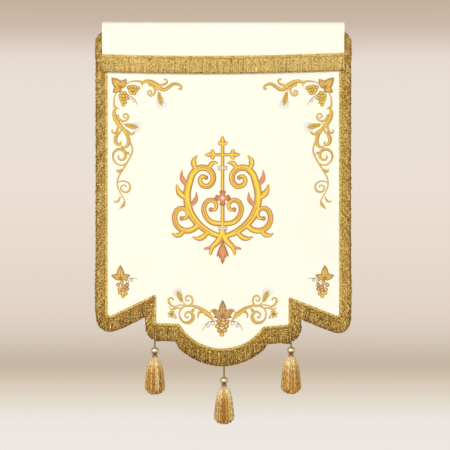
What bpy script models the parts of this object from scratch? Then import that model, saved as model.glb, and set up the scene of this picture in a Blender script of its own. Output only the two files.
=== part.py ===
"""Church banner: a cream cloth with a pole sleeve, a shaped lower edge, gold fringe and three tassels.

Metres. X runs across the banner, Z is up and the face looks towards -Y.
The origin is the middle of the banner's top edge, where the pole inside the sleeve lifts it.
"""

import math

import bmesh
import bpy
from mathutils import Vector

# The cloth
CLOTH_WIDTH = 0.800
CLOTH_THICK = 0.0024
POLE_SPACE_RADIUS = 0.013  # the sleeve stays open round a pole of this radius
SLEEVE_TAPER_Z = -0.098  # the sleeve's two walls hang plumb below this height
SLEEVE_BACK_END_Z = -0.110  # the back wall of the sleeve ends here, and the panel begins
FLAP_Y = -0.0050  # the flap hangs this far in front, over the bulk of the side fringes
SEAM_Z = -0.1055  # the row of stitches that closes the sleeve
SEAM_DEPTH = 0.003
SEAM_END_MARGIN = 0.004  # the stitches stop this far short of the side fringes
CLEAR = 0.0003  # what is sewn together lies this far apart here

# The fringe, a woven braid with bullion locks hanging from it
BRAID_WIDTH = 0.012
BRAID_THICK = 0.0016
EDGE_MARGIN = 0.018  # from the braid's inner line to the cut edge of the cloth
LOCK_LENGTH = 0.047
LOCK_GAP = 0.0006
CORD_SLOT = 0.0070  # the locks part this wide where a tassel cord comes through
SIDE_LEAN = 34  # degrees that the locks of an upright edge swing outwards
LOCK_SHAPE = (  # share of the length, share of the width, standing off the cloth, ridge on top
    (-0.11, 0.60, 0.0010, 0.0006),  # the root, up inside the braid
    (0.30, 0.90, 0.0008, 0.0014),
    (0.65, 1.00, 0.0006, 0.0042),
    (1.00, 0.80, 0.0009, 0.0028),
)

# The braid's upper line across the sleeve's flap, which sags in the middle
FLAP_BRAID_Z = {"left": -0.1075, "middle": -0.1128, "right": -0.1025}
FLAP_HEM_BELOW_BRAID = 0.009
FLAP_LOCKS = 54
FLAP_LOCKS_A_STEP = 6  # the braid's curve has a point for every so many locks

# The braid's inner line down the left, along the foot and up the right: across, height, corner radius
SIDE_FRINGE_TOP_Z = -0.037
SEW_LINE = {
    "left_split": (-0.382, -0.925, 0),
    "left_point": (-0.382, -0.977, 0.016),
    "left_notch": (-0.221, -0.899, 0.016),
    "left_step": (-0.221, -0.996, 0.006),
    "left_shoulder": (-0.145, -0.998, 0.016),
    "right_shoulder": (0.132, -1.008, 0.016),
    "right_step": (0.216, -1.001, 0.006),
    "right_notch": (0.216, -0.909, 0.016),
    "right_point": (0.383, -0.975, 0.007),
    "right_split": (0.383, -0.925, 0),
}
SCALLOP_FOOT = (0.000, -1.080)
SCALLOP_STEPS = 12
CORNER_STEPS = 4
SLEEVE_STEPS = 8  # across the banner, and round the fold over the pole

# Each stretch of fringe: where it begins and ends on that line, the tassel whose cord parts it, and
# before and after the cord how many locks hang there, with evenly spaced leans in degrees, + to the right
FRINGES = {
    "fringe_left_side": ("left_top", "left_split", None, [(41, (-SIDE_LEAN, -SIDE_LEAN))]),
    "fringe_left_point": (
        "left_split", "left_notch", None, [(20, (-SIDE_LEAN, -33, -18, -4, 0, 0, 0, -2, -10, -22))],
    ),
    "fringe_left_step": (
        "left_notch", "left_shoulder", "left", [(8, (-22, -26, -30, -28, -16)), (6, (0, 0, -2, -7))],
    ),
    "fringe_scallop": (
        "left_shoulder", "right_shoulder", "middle",
        [(14, (-7, -14, -8, -3, 0, 0)), (14, (0, 0, 3, 8, 14, 7))],
    ),
    "fringe_right_step": (
        "right_shoulder", "right_notch", "right", [(6, (7, 2, 0, 0)), (8, (16, 28, 30, 26, 22))],
    ),
    "fringe_right_point": (
        "right_notch", "right_split", None, [(19, (22, 10, 2, 0, 0, 0, 4, 16, 33, SIDE_LEAN))],
    ),
    "fringe_right_side": ("right_split", "right_top", None, [(41, (SIDE_LEAN, SIDE_LEAN))]),
}
NOTCH_EXTRA = 0.013  # locks beside a notch hang this much longer, over one another
NOTCH_REACH = 0.040

# The tassels
CORD_DIAMETER = 0.006
CORD_Y = -0.0045
BEAD_RADIUS = 0.0132
BEAD_HEIGHT = 0.0242
BEAD_FLAT_RADIUS = 0.0036
NECK_RADIUS = 0.0086
NECK_HEIGHT = 0.011
NECK_PROFILE = ((0.00, 0.90), (0.30, 1.00), (0.75, 1.00), (1.00, 1.22), (1.27, 1.25))  # height, radius
TURNED_SIDES = 16
SKIRT_PROFILE = (  # depth below the neck, outer radius
    (0.000, 0.0122),
    (0.018, 0.0200),
    (0.050, 0.0280),
    (0.090, 0.0325),
    (0.108, 0.0315),
)
TASSELS = {  # across, the height of the bead's top
    "left": (-0.2258, -1.0760),
    "middle": (0.0030, -1.1740),
    "right": (0.2243, -1.0740),
}
STRAND_RINGS = (  # strands, inner and outer share of the skirt's radius, length
    (13, 0.66, 1.00, 0.107),
    (6, 0.30, 0.62, 0.117),
    (3, 0.03, 0.26, 0.122),
)
STRAND_ROOT = 0.004  # how far a strand reaches up into the neck, and how far down it stays narrow
STRAND_ROOT_SHARE = 0.92  # of the neck's radius
STRAND_STATIONS = (0.20, 0.55, 0.86, 1.00)  # shares of a strand's length
STRAND_WIDEST = 0.62  # share of its depth, from the inner side, where a strand is widest
STRAND_FILL = 0.93  # share of its place in the ring that a strand fills there

# Colours are linear red, green, blue
CREAM = (0.93, 0.91, 0.78)
OLD_GOLD = (0.50, 0.34, 0.10)
PALE_GOLD = (0.66, 0.52, 0.21)
WARM_GOLD = (0.62, 0.38, 0.12)


def clear_scene():
    for obj in list(bpy.data.objects):
        bpy.data.objects.remove(obj)


def material(name, colour, roughness, metallic):
    made = bpy.data.materials.new(name)
    made.use_nodes = True
    shader = made.node_tree.nodes["Principled BSDF"]
    shader.inputs["Base Color"].default_value = (*colour, 1)
    shader.inputs["Roughness"].default_value = roughness
    shader.inputs["Metallic"].default_value = metallic
    return made


def add_object(name, skins, finish):
    """One object from closed skins of points and faces, each turned the right way out."""
    built = bmesh.new()
    for points, faces in skins:
        corners = [built.verts.new(point) for point in points]
        for face in faces:
            built.faces.new([corners[i] for i in face])
    bmesh.ops.recalc_face_normals(built, faces=built.faces)
    mesh = bpy.data.meshes.new(name)
    built.to_mesh(mesh)
    built.free()
    mesh.materials.append(finish)
    obj = bpy.data.objects.new(name, mesh)
    bpy.context.scene.collection.objects.link(obj)
    return obj


def loft(rings):
    """Points and faces of a closed skin through rings of equally many points, capped at both ends."""
    count = len(rings[0])
    points = [point for ring in rings for point in ring]
    faces = []
    for r in range(len(rings) - 1):
        here, beyond = r * count, (r + 1) * count
        for i in range(count):
            j = (i + 1) % count
            faces.append((here + i, here + j, beyond + j, beyond + i))
    last = (len(rings) - 1) * count
    faces.append(tuple(reversed(range(count))))
    faces.append(tuple(range(last, last + count)))
    return points, faces


def fuse(backing, skins, finish):
    """Joins loose skins to the piece that holds their roots."""
    roots = add_object(backing.name + "_roots", skins, finish)
    roots.hide_render = True
    roots.display_type = "WIRE"
    join = backing.modifiers.new("Roots", "BOOLEAN")
    join.operation = "UNION"
    join.use_self = True
    join.object = roots


def outward(start, end):
    """The normal that points off the cloth for a stretch of the line that runs round it."""
    run = (end - start).normalized()
    return Vector((run.y, -run.x))


def offset_line(line, distance):
    """The same line, moved off the cloth by a distance, with mitred corners."""
    moved = []
    for i, point in enumerate(line):
        before = outward(line[i - 1], point) if i else outward(point, line[1])
        after = outward(point, line[i + 1]) if i + 1 < len(line) else before
        corner = before + after
        moved.append(point + corner * (2 * distance / corner.length_squared))
    return moved


def corner_arc(before, corner, after, radius):
    """Points on the arc that rounds a corner off."""
    back = (before - corner).normalized()
    ahead = (after - corner).normalized()
    half = back.angle(ahead) / 2
    centre = corner + (back + ahead).normalized() * (radius / math.sin(half))
    first = corner + back * (radius / math.tan(half)) - centre
    swing = (math.pi - 2 * half) * math.copysign(1, back.cross(ahead))
    arc = []
    for i in range(CORNER_STEPS + 1):
        turn = -swing * i / CORNER_STEPS
        spun = (
            first.x * math.cos(turn) - first.y * math.sin(turn),
            first.x * math.sin(turn) + first.y * math.cos(turn),
        )
        arc.append(centre + Vector(spun))
    return arc


def scallop_arc():
    """The round foot between its shoulders: a circle through both of them and the lowest point."""
    a, b = (Vector(SEW_LINE[name][:2]) for name in ("left_shoulder", "right_shoulder"))
    foot = Vector(SCALLOP_FOOT)
    chord = b - a
    along = chord.normalized()
    plumb = Vector((along.y, -along.x))
    share = (foot - a).dot(along)
    drop = (foot - a).dot(plumb)
    rise = (share * (chord.length - share) - drop * drop) / (2 * drop)
    centre = a + chord / 2 - plumb * rise
    radius = (a - centre).length
    first = math.atan2(a.x - centre.x, centre.y - a.y)
    last = math.atan2(b.x - centre.x, centre.y - b.y)
    bearings = [first + (last - first) * i / SCALLOP_STEPS for i in range(1, SCALLOP_STEPS)]
    return [centre + radius * Vector((math.sin(turn), -math.cos(turn))) for turn in bearings]


def sew_corners():
    """The named corners of the braid's inner line, with the scallop's points between its shoulders."""
    corners = []
    left, right = SEW_LINE["left_split"][0], SEW_LINE["right_split"][0]
    corners.append(("left_top", Vector((left, SIDE_FRINGE_TOP_Z)), 0))
    corners.append(("left_taper", Vector((left, SLEEVE_TAPER_Z)), 0))
    for name, (x, z, radius) in SEW_LINE.items():
        corners.append((name, Vector((x, z)), radius))
        if name == "left_shoulder":
            corners += [("scallop", point, 0) for point in scallop_arc()]
    corners.append(("right_taper", Vector((right, SLEEVE_TAPER_Z)), 0))
    corners.append(("right_top", Vector((right, SIDE_FRINGE_TOP_Z)), 0))
    return corners


def sew_line():
    """The braid's inner line, and the place in it of each named corner's middle."""
    corners = sew_corners()
    line, marks = [], {}
    for i, (name, point, radius) in enumerate(corners):
        if radius:
            arc = corner_arc(corners[i - 1][1], point, corners[i + 1][1], radius)
            marks[name] = len(line) + CORNER_STEPS // 2
            line += arc
        else:
            marks[name] = len(line)
            line.append(point)
    return line, marks


def fold_radius():
    return POLE_SPACE_RADIUS + CLOTH_THICK / 2


def fold_centre_z():
    return -POLE_SPACE_RADIUS - CLOTH_THICK


def cloth_face_y(z):
    """The front face of the banner's own cloth, which leans back into the sleeve's rear wall."""
    slope = fold_radius() / (fold_centre_z() - SLEEVE_TAPER_Z)
    return -CLOTH_THICK / 2 + max(0.0, z - SLEEVE_TAPER_Z) * slope


def flap_face_y(_z):
    """The front face of the sleeve's flap, which hangs plumb where its fringe is sewn on."""
    return FLAP_Y - CLOTH_THICK / 2


def flap_braid_z(x):
    """The parabola through the flap braid's three heights."""
    share = x / (CLOTH_WIDTH / 2)
    left, middle, right = (FLAP_BRAID_Z[name] for name in ("left", "middle", "right"))
    return middle + (right - left) / 2 * share + ((left + right) / 2 - middle) * share * share


def make_panel(finish):
    """The banner's face, from the sleeve down to its points, steps and scallop."""
    top = SLEEVE_BACK_END_Z - CLEAR
    names = {"left_top", "right_top", "left_taper", "right_taper", "left_split", "right_split"}
    corners = [point for name, point, _radius in sew_corners() if name not in names]
    left, right = SEW_LINE["left_point"][0], SEW_LINE["right_point"][0]
    edge = offset_line([Vector((left, top)), *corners, Vector((right, top))], EDGE_MARGIN)
    half = CLOTH_WIDTH / 2
    edge[0].x, edge[1].x, edge[-2].x, edge[-1].x = -half, -half, half, half
    rings = [[(p.x, y, p.y) for p in edge] for y in (CLOTH_THICK / 2, -CLOTH_THICK / 2)]
    return add_object("panel", [loft(rings)], finish)


def sleeve_centre_line(hem_z):
    """The fold of cloth seen from its end: up the flap, over the pole and down the back."""
    radius, middle = fold_radius(), fold_centre_z()
    line = [Vector((FLAP_Y, hem_z)), Vector((FLAP_Y, SLEEVE_TAPER_Z))]
    for i in range(SLEEVE_STEPS + 1):
        turn = math.pi * i / SLEEVE_STEPS
        line.append(Vector((-radius * math.cos(turn), middle + radius * math.sin(turn))))
    line += [Vector((0, SLEEVE_TAPER_Z)), Vector((0, SLEEVE_BACK_END_Z))]
    return line


def make_sleeve(finish):
    """The cloth folded over into a sleeve, its flap hanging in front and sewn down below."""
    rings = []
    for i in range(SLEEVE_STEPS + 1):
        x = CLOTH_WIDTH * (i / SLEEVE_STEPS - 0.5)
        line = sleeve_centre_line(flap_braid_z(x) - FLAP_HEM_BELOW_BRAID)
        outer = offset_line(line, -CLOTH_THICK / 2)
        inner = offset_line(line, CLOTH_THICK / 2)
        rings.append([(x, p.x, p.y) for p in outer + inner[::-1]])
    sleeve = add_object("pole_sleeve", [loft(rings)], finish)
    seam_half = -SEW_LINE["left_point"][0] - SEAM_END_MARGIN
    front, back = FLAP_Y, 0.0
    low, high = SEAM_Z - SEAM_DEPTH / 2, SEAM_Z + SEAM_DEPTH / 2
    seam = [
        [(x, front, low), (x, back, low), (x, back, high), (x, front, high)]
        for x in (-seam_half, seam_half)
    ]
    fuse(sleeve, [loft(seam)], finish)
    return sleeve


def make_braid(name, inner, outer, face, finish):
    """A stretch of woven braid between two lines, lying on the face of the cloth.

    face gives the height in Y of the surface under it, for each Z.
    """
    inner, outer = drawn_in(inner), drawn_in(outer)
    rings = []
    for a, b in zip(inner, outer):
        rings.append([
            (a.x, face(a.y) - CLEAR, a.y),
            (a.x, face(a.y) - CLEAR - BRAID_THICK, a.y),
            (b.x, face(b.y) - CLEAR - BRAID_THICK, b.y),
            (b.x, face(b.y) - CLEAR, b.y),
        ])
    return add_object(name, [loft(rings)], finish)


def drawn_in(line):
    """The line with both ends a little short, so that two stretches of braid stay apart."""
    first = line[0] + (line[1] - line[0]).normalized() * CLEAR
    last = line[-1] + (line[-2] - line[-1]).normalized() * CLEAR
    return [first, *line[1:-1], last]


def lock(before, after, face):
    """One lock of bullion, a three-sided strand with a ridge in front, between two rays.

    A ray is a place on the braid's outer line, the way a lock falls from it and its length.
    """
    rings = []
    for along, share, off, ridge in LOCK_SHAPE:
        left = before[0] + before[1] * before[2] * along
        right = after[0] + after[1] * after[2] * along
        centre = (left + right) / 2
        across = (right - left).normalized()
        half = ((right - left).length - LOCK_GAP) * share / 2
        left, right = centre - across * half, centre + across * half
        rings.append([
            (left.x, face(left.y) - off, left.y),
            (right.x, face(right.y) - off, right.y),
            (centre.x, face(centre.y) - off - ridge, centre.y),
        ])
    return loft(rings)


def uneven(index):
    """A small steady variation in length from lock to lock."""
    return 0.0012 * math.sin(2.3 * index) + 0.0008 * math.sin(5.1 * index + 1)


def place_on(line, distance):
    """The place at a distance along a line."""
    for a, b in zip(line, line[1:]):
        span = (b - a).length
        if distance <= span:
            return a + (b - a) * (distance / span)
        distance -= span
    return line[-1]


def length_to(line, index):
    """How far along a line one of its points lies."""
    return sum((b - a).length for a, b in zip(line[:index], line[1:index + 1]))


def distance_at(line, x, low, high):
    """How far along a line it crosses a place across the banner, between two distances."""
    steps = 400
    places = [low + (high - low) * i / steps for i in range(steps + 1)]
    return min(places, key=lambda place: abs(place_on(line, place).x - x))


def between(values, share):
    """A value from an evenly spaced list, at a share of the way along it."""
    place = share * (len(values) - 1)
    i = min(int(place), len(values) - 2)
    return values[i] + (values[i + 1] - values[i]) * (place - i)


def hang_locks(line, start, end, count, leans, notches):
    """Locks between two distances along the braid's outer line."""
    rays = []
    for i in range(count + 1):
        place = start + (end - start) * i / count
        lean = math.radians(between(leans, i / count))
        fall = Vector((math.sin(lean), -math.cos(lean)))
        nearness = max(1 - abs(place - notch) / NOTCH_REACH for notch in notches)
        length = LOCK_LENGTH + uneven(i) + NOTCH_EXTRA * max(0.0, nearness)
        rays.append((place_on(line, place), fall, length))
    return [lock(a, b, cloth_face_y) for a, b in zip(rays, rays[1:])]


def make_flap_fringe(finish):
    """The fringe across the hem of the sleeve's flap."""
    places = [CLOTH_WIDTH * (i / FLAP_LOCKS - 0.5) for i in range(FLAP_LOCKS + 1)]
    inner = [Vector((x, flap_braid_z(x))) for x in places]
    outer = [point - Vector((0, BRAID_WIDTH)) for point in inner]
    curve = slice(None, None, FLAP_LOCKS_A_STEP)
    braid = make_braid("fringe_flap", inner[curve], outer[curve], flap_face_y, finish)
    plumb = Vector((0, -1))
    rays = [(point, plumb, LOCK_LENGTH + uneven(i)) for i, point in enumerate(outer)]
    fuse(braid, [lock(a, b, flap_face_y) for a, b in zip(rays, rays[1:])], finish)


def make_edge_fringes(finish):
    """The fringe down the sides and round the foot, a node for each stretch. Returns its outer line."""
    inner, marks = sew_line()
    outer = offset_line(inner, BRAID_WIDTH)
    for split in ("left_split", "right_split"):
        inner[marks[split]].y += BRAID_WIDTH / math.tan(math.radians(SIDE_LEAN))
    notches = [length_to(outer, marks[name]) for name in ("left_notch", "right_notch")]
    for name, (first, last, tassel, runs) in FRINGES.items():
        span = slice(marks[first], marks[last] + 1)
        braid = make_braid(name, inner[span], outer[span], cloth_face_y, finish)
        start, end = length_to(outer, marks[first]), length_to(outer, marks[last])
        limits = [start, end]
        if tassel:
            x = TASSELS[tassel][0]
            sides = (x - CORD_SLOT / 2, x + CORD_SLOT / 2)
            limits[1:1] = [distance_at(outer, side, start, end) for side in sides]
        locks = []
        for (count, leans), low, high in zip(runs, limits[::2], limits[1::2]):
            locks += hang_locks(outer, low, high, count, leans, notches)
        fuse(braid, locks, finish)
    return outer


def make_cord(name, x, top_z, foot_z, finish):
    """The short cord that a tassel hangs on, from under the braid to the bead."""
    curve = bpy.data.curves.new(name, "CURVE")
    curve.dimensions = "3D"
    curve.bevel_depth = CORD_DIAMETER / 2
    curve.bevel_resolution = 2
    curve.use_fill_caps = True
    curve.materials.append(finish)
    count = max(4, round((top_z - foot_z) / (2.5 * CORD_DIAMETER)) + 1)
    spline = curve.splines.new("POLY")
    spline.points.add(count - 1)
    for i in range(count):
        z = top_z + (foot_z - top_z) * i / (count - 1)
        spline.points[i].co = (x, CORD_Y, z, 1)
    obj = bpy.data.objects.new(name, curve)
    bpy.context.scene.collection.objects.link(obj)


def turned(name, x, profile, finish):
    """A turned piece on a plumb axis. profile lists height and radius from the top down."""
    rings = []
    for z, radius in profile:
        bearings = [2 * math.pi * i / TURNED_SIDES for i in range(TURNED_SIDES)]
        rings.append([(x + radius * math.cos(b), CORD_Y + radius * math.sin(b), z) for b in bearings])
    return add_object(name, [loft(rings)], finish)


def make_bead(name, x, top_z, finish):
    """The tassel's round head, a mould covered with thread, flat where the cord enters."""
    half = BEAD_HEIGHT / 2
    flat = math.asin(BEAD_FLAT_RADIUS / BEAD_RADIUS)
    steps = 8
    profile = []
    for i in range(steps + 1):
        polar = flat + (math.pi - 2 * flat) * i / steps
        height = half * math.cos(polar) / math.cos(flat)
        profile.append((top_z - half + height, BEAD_RADIUS * math.sin(polar)))
    bead = turned(name, x, profile, finish)
    bead.data.shade_smooth()
    bead.data.set_sharp_from_angle(angle=math.radians(50))


def skirt_radius(depth):
    """The skirt's outer radius at a depth below the neck."""
    for (d0, r0), (d1, r1) in zip(SKIRT_PROFILE, SKIRT_PROFILE[1:]):
        if depth <= d1:
            return r0 + (r1 - r0) * (depth - d0) / (d1 - d0)
    return SKIRT_PROFILE[-1][1]


def strand(x, neck_foot_z, bearing, count, inner_share, outer_share, length):
    """One strand of a tassel's skirt: four-sided, its ridge outwards, its root in the neck."""
    out = Vector((math.cos(bearing), math.sin(bearing), 0))
    sideways = Vector((-math.sin(bearing), math.cos(bearing), 0))
    axis = Vector((x, CORD_Y, neck_foot_z))
    rings = []
    for depth in (-STRAND_ROOT, STRAND_ROOT, *(length * share for share in STRAND_STATIONS)):
        full = skirt_radius(depth) if depth > STRAND_ROOT else NECK_RADIUS * STRAND_ROOT_SHARE
        low, high = full * inner_share, full * outer_share
        if depth == length:
            low, high = low + 0.1 * (high - low), high - 0.25 * (high - low)
        middle = low + STRAND_WIDEST * (high - low)
        wide = max(0.0006, middle * math.sin(math.pi / count) * STRAND_FILL - 0.0002)
        centre = axis + Vector((0, 0, -depth))
        rings.append([
            centre + out * low,
            centre + out * middle + sideways * wide,
            centre + out * high,
            centre + out * middle - sideways * wide,
        ])
    return loft(rings)


def make_skirt(name, x, top_z, finish):
    """The bound neck under the bead and the strands that hang from it."""
    foot = top_z - NECK_HEIGHT
    profile = [(top_z - NECK_HEIGHT * depth, NECK_RADIUS * share) for depth, share in NECK_PROFILE]
    skirt = turned(name, x, profile, finish)
    strands = []
    for ring, (count, inner, outer, length) in enumerate(STRAND_RINGS):
        for i in range(count):
            bearing = 2 * math.pi * (i + 0.5 * ring) / count
            cut = length + uneven(i + 7 * ring)
            strands.append(strand(x, foot, bearing, count, inner, outer, cut))
    fuse(skirt, strands, finish)


def braid_foot(outer_line, x):
    """The lowest point of the foot's braid over the width of a cord."""
    low, high = x - CORD_DIAMETER / 2, x + CORD_DIAMETER / 2
    heights = []
    for a, b in zip(outer_line, outer_line[1:]):
        if a.x < high and b.x > low:
            heights += [a.y, b.y]
    return min(heights)


def make_tassels(outer_line, cord_finish, thread_finish):
    for name, (x, bead_top) in TASSELS.items():
        cord_top = braid_foot(outer_line, x) - CLEAR
        make_cord(f"tassel_{name}_cord", x, cord_top, bead_top + CLEAR, cord_finish)
        make_bead(f"tassel_{name}_bead", x, bead_top, thread_finish)
        neck_top = bead_top - BEAD_HEIGHT - CLEAR
        make_skirt(f"tassel_{name}_skirt", x, neck_top, thread_finish)


def main():
    clear_scene()
    cream = material("cream_cloth", CREAM, 0.7, 0.0)
    bullion = material("bullion_fringe", OLD_GOLD, 0.45, 0.3)
    cord_gold = material("cord_gold", PALE_GOLD, 0.45, 0.2)
    silk_gold = material("tassel_silk", WARM_GOLD, 0.4, 0.1)
    make_panel(cream)
    make_sleeve(cream)
    make_flap_fringe(bullion)
    outer_line = make_edge_fringes(bullion)
    make_tassels(outer_line, cord_gold, silk_gold)


main()
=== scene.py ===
"""The looks of a church banner: cream cloth, gold embroidery, bullion fringe and three tassels.

Metres. X runs across the banner, Z is up and the face looks towards -Y. The banner hangs from its
top edge, at the origin.
"""

import math

import bpy
import numpy as np
from mathutils import Matrix, Vector


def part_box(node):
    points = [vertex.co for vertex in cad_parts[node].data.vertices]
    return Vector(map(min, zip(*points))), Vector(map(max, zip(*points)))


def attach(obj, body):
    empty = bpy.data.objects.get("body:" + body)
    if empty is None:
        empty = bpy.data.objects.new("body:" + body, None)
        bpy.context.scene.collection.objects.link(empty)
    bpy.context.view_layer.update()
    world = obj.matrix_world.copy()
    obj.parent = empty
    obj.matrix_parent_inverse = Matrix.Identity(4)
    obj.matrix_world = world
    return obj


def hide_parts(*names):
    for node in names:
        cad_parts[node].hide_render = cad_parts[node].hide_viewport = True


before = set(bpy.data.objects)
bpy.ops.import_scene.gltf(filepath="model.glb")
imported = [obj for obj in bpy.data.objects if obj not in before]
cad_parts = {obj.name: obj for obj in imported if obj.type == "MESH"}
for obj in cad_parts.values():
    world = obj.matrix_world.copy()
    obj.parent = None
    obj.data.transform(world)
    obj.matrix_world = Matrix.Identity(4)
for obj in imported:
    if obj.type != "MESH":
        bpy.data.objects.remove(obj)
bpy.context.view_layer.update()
bpy.ops.object.select_all(action="DESELECT")

# The photographer's camera: level with the middle of the banner, far off, with a long lens.
# One photo pixel is 3.306 mm where the cloth hangs, so its 450 pixels take in 1.488 m.
PIXEL = 0.003306
CAMERA_DISTANCE = 6.2
LENS_MM = 150
SENSOR_MM = 36
VIEW_CENTRE = Vector((0.006, 0, -0.672))
camera_data = bpy.data.cameras.new("camera")
camera_data.lens = LENS_MM
camera_data.sensor_width = SENSOR_MM
camera = bpy.data.objects.new("camera", camera_data)
camera.location = VIEW_CENTRE + Vector((0, -CAMERA_DISTANCE, 0))
camera.rotation_euler = (math.radians(90), 0, 0)
bpy.context.scene.collection.objects.link(camera)
bpy.context.scene.camera = camera
bpy.context.scene.view_settings.view_transform = "Standard"


def hex_colour(code):
    """An sRGB hex code as linear red, green, blue and alpha."""
    parts = [int(code[i:i + 2], 16) / 255 for i in (1, 3, 5)]
    return (*[c / 12.92 if c <= 0.04045 else ((c + 0.055) / 1.055) ** 2.4 for c in parts], 1.0)


def add_node(tree, kind, settings=(), links=()):
    """Adds a node, sets its properties or sockets, and links sockets to other nodes' outputs."""
    made = tree.nodes.new(kind)
    for name, value in dict(settings).items():
        if isinstance(name, str) and hasattr(made, name):
            setattr(made, name, value)
        else:
            made.inputs[name].default_value = value
    for name, source in dict(links).items():
        tree.links.new(source, made.inputs[name])
    return made


def set_ramp(node, stops):
    """Gives a colour ramp its stops, each a place from 0 to 1 and a hex colour."""
    ramp = node.color_ramp
    while len(ramp.elements) > 1:
        ramp.elements.remove(ramp.elements[-1])
    ramp.elements[0].position = stops[0][0]
    ramp.elements[0].color = hex_colour(stops[0][1])
    for place, code in stops[1:]:
        ramp.elements.new(place).color = hex_colour(code)


# The room: a warm grey studio that is brightest behind the middle of the banner.
# The camera sees a soft vertical gradient, and everything else is lit by an even pale sky.
ROOM_STRENGTH = 0.26
ROOM_REACH = 0.12  # the gradient runs this far above and below level, as a slope
ROOM_STOPS = (
    (0.00, "#D4C4B1"), (0.1556, "#D4C4B2"), (0.164, "#D1C1AE"), (0.187, "#C9B7A3"),
    (0.200, "#C8B7A4"), (0.222, "#CDBDAD"), (0.244, "#D4C6B5"), (0.267, "#DBCDBE"),
    (0.300, "#E1D2C4"), (0.356, "#E4D6C8"), (0.46, "#E8DCCE"), (0.62, "#ECE0D5"),
    (0.80, "#EAE0D6"), (0.87, "#E6D9D0"), (0.94, "#CCB9A8"), (1.00, "#C3B09C"),
)
world = bpy.data.worlds.new("studio")
world.use_nodes = True
tree = world.node_tree
tree.nodes.clear()
direction = add_node(tree, "ShaderNodeTexCoord")
height = add_node(tree, "ShaderNodeSeparateXYZ", links={"Vector": direction.outputs["Generated"]})
share = add_node(
    tree, "ShaderNodeMapRange",
    {"From Min": -ROOM_REACH, "From Max": ROOM_REACH}, {"Value": height.outputs["Z"]},
)
ramp = add_node(tree, "ShaderNodeValToRGB", links={"Fac": share.outputs["Result"]})
set_ramp(ramp, ROOM_STOPS)
seen = add_node(tree, "ShaderNodeBackground", {"Strength": 1.0}, {"Color": ramp.outputs["Color"]})
sky = add_node(
    tree, "ShaderNodeBackground", {"Strength": ROOM_STRENGTH, "Color": hex_colour("#FFFBF4")},
)
path = add_node(tree, "ShaderNodeLightPath")
mixed = add_node(
    tree, "ShaderNodeMixShader",
    links={0: path.outputs["Is Camera Ray"], 1: sky.outputs[0], 2: seen.outputs[0]},
)
add_node(tree, "ShaderNodeOutputWorld", links={"Surface": mixed.outputs[0]})
bpy.context.scene.world = world

# The lamps: a large soft key from the upper left in front, and a weaker fill from the right.
# The small high lamp gives the gold thread its bright glints.
LAMPS = {  # place, size, power
    "key": ((-4.4, -8.0, 2.0), 2.4, 215),
    "fill": ((4.2, -7.0, 0.2), 3.0, 50),
    "glint": ((-1.0, -6.0, 2.6), 0.6, 140),
}
for name, (place, size, power) in LAMPS.items():
    lamp = bpy.data.objects.new(name, bpy.data.lights.new(name, "AREA"))
    lamp.data.size = size
    lamp.data.energy = power
    lamp.location = place
    lamp.rotation_euler = (VIEW_CENTRE - lamp.location).to_track_quat("-Z", "Y").to_euler()
    bpy.context.scene.collection.objects.link(lamp)

# The floor: a pale plain studio floor, well below the tassels, that glows in painted colours instead of
# being lit, painted darker far back, a painted shade that fades it into the warm grey.
# It is not part of the banner.
FLOOR_Z = -1.60
FLOOR_BACK = 5.0
FLOOR_HALF = (7, 6)  # half its width and half its depth
FLOOR_FADE = 1.2  # the painted shade darkens it from here to its back edge


def new_material(name, sockets):
    """A material, its node tree and its shader, with the shader's own sockets set."""
    made = bpy.data.materials.new(name)
    made.use_nodes = True
    shader = made.node_tree.nodes["Principled BSDF"]
    for socket, value in sockets.items():
        shader.inputs[socket].default_value = value
    return made, made.node_tree, shader


bpy.ops.mesh.primitive_plane_add(size=2)
floor = bpy.context.object
floor.name = "floor"
for corner in floor.data.vertices:
    back = (corner.co.y - 1) * FLOOR_HALF[1] + FLOOR_BACK
    corner.co = (corner.co.x * FLOOR_HALF[0], back, FLOOR_Z)
# Its light is painted: a near-black base that glows in the painted colours of the ramp below, paler in
# front and darker far back.
glowing_floor_paint, tree, shader = new_material("matt_floor_paint", {
    "Roughness": 0.9, "Specular IOR Level": 0.1, "Base Color": hex_colour("#1C1B19"),
    "Emission Strength": 0.99,
})
coords = add_node(tree, "ShaderNodeTexCoord")
split = add_node(tree, "ShaderNodeSeparateXYZ", links={"Vector": coords.outputs["Object"]})
share = add_node(
    tree, "ShaderNodeMapRange", {"From Min": FLOOR_FADE, "From Max": FLOOR_BACK},
    {"Value": split.outputs["Y"]},
)
ramp = add_node(tree, "ShaderNodeValToRGB", links={"Fac": share.outputs["Result"]})
set_ramp(ramp, (
    (0.13, "#ECE7E1"), (0.40, "#EBE6E0"), (0.67, "#E1D9CA"), (0.83, "#DBCEBD"), (0.93, "#D8CAB9"),
    (1.0, "#D4C5B3"),
))
tree.links.new(ramp.outputs["Color"], shader.inputs["Emission Color"])
floor.data.materials.append(glowing_floor_paint)

# The tassel cords: three short lengths of gold cord, each laid up from three plies of rayon thread.
# They come out from under the braid, between the locks of the fringe, and run down into the beads.
TASSELS = ("left", "middle", "right")
CORD_DIAMETER = 0.006
PLY_GROOVE = 0.22  # how deep the groove between two plies is, as a share of the radius
PLY_FULLNESS = 0.7  # below 1 the plies are full and the grooves between them narrow
PLY_TURN = 0.0095  # a ply goes once round the cord in this length
CORD_ROW = 0.0009  # the mesh has a row this often
CORD_STREAK_MM = 0.7


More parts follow.
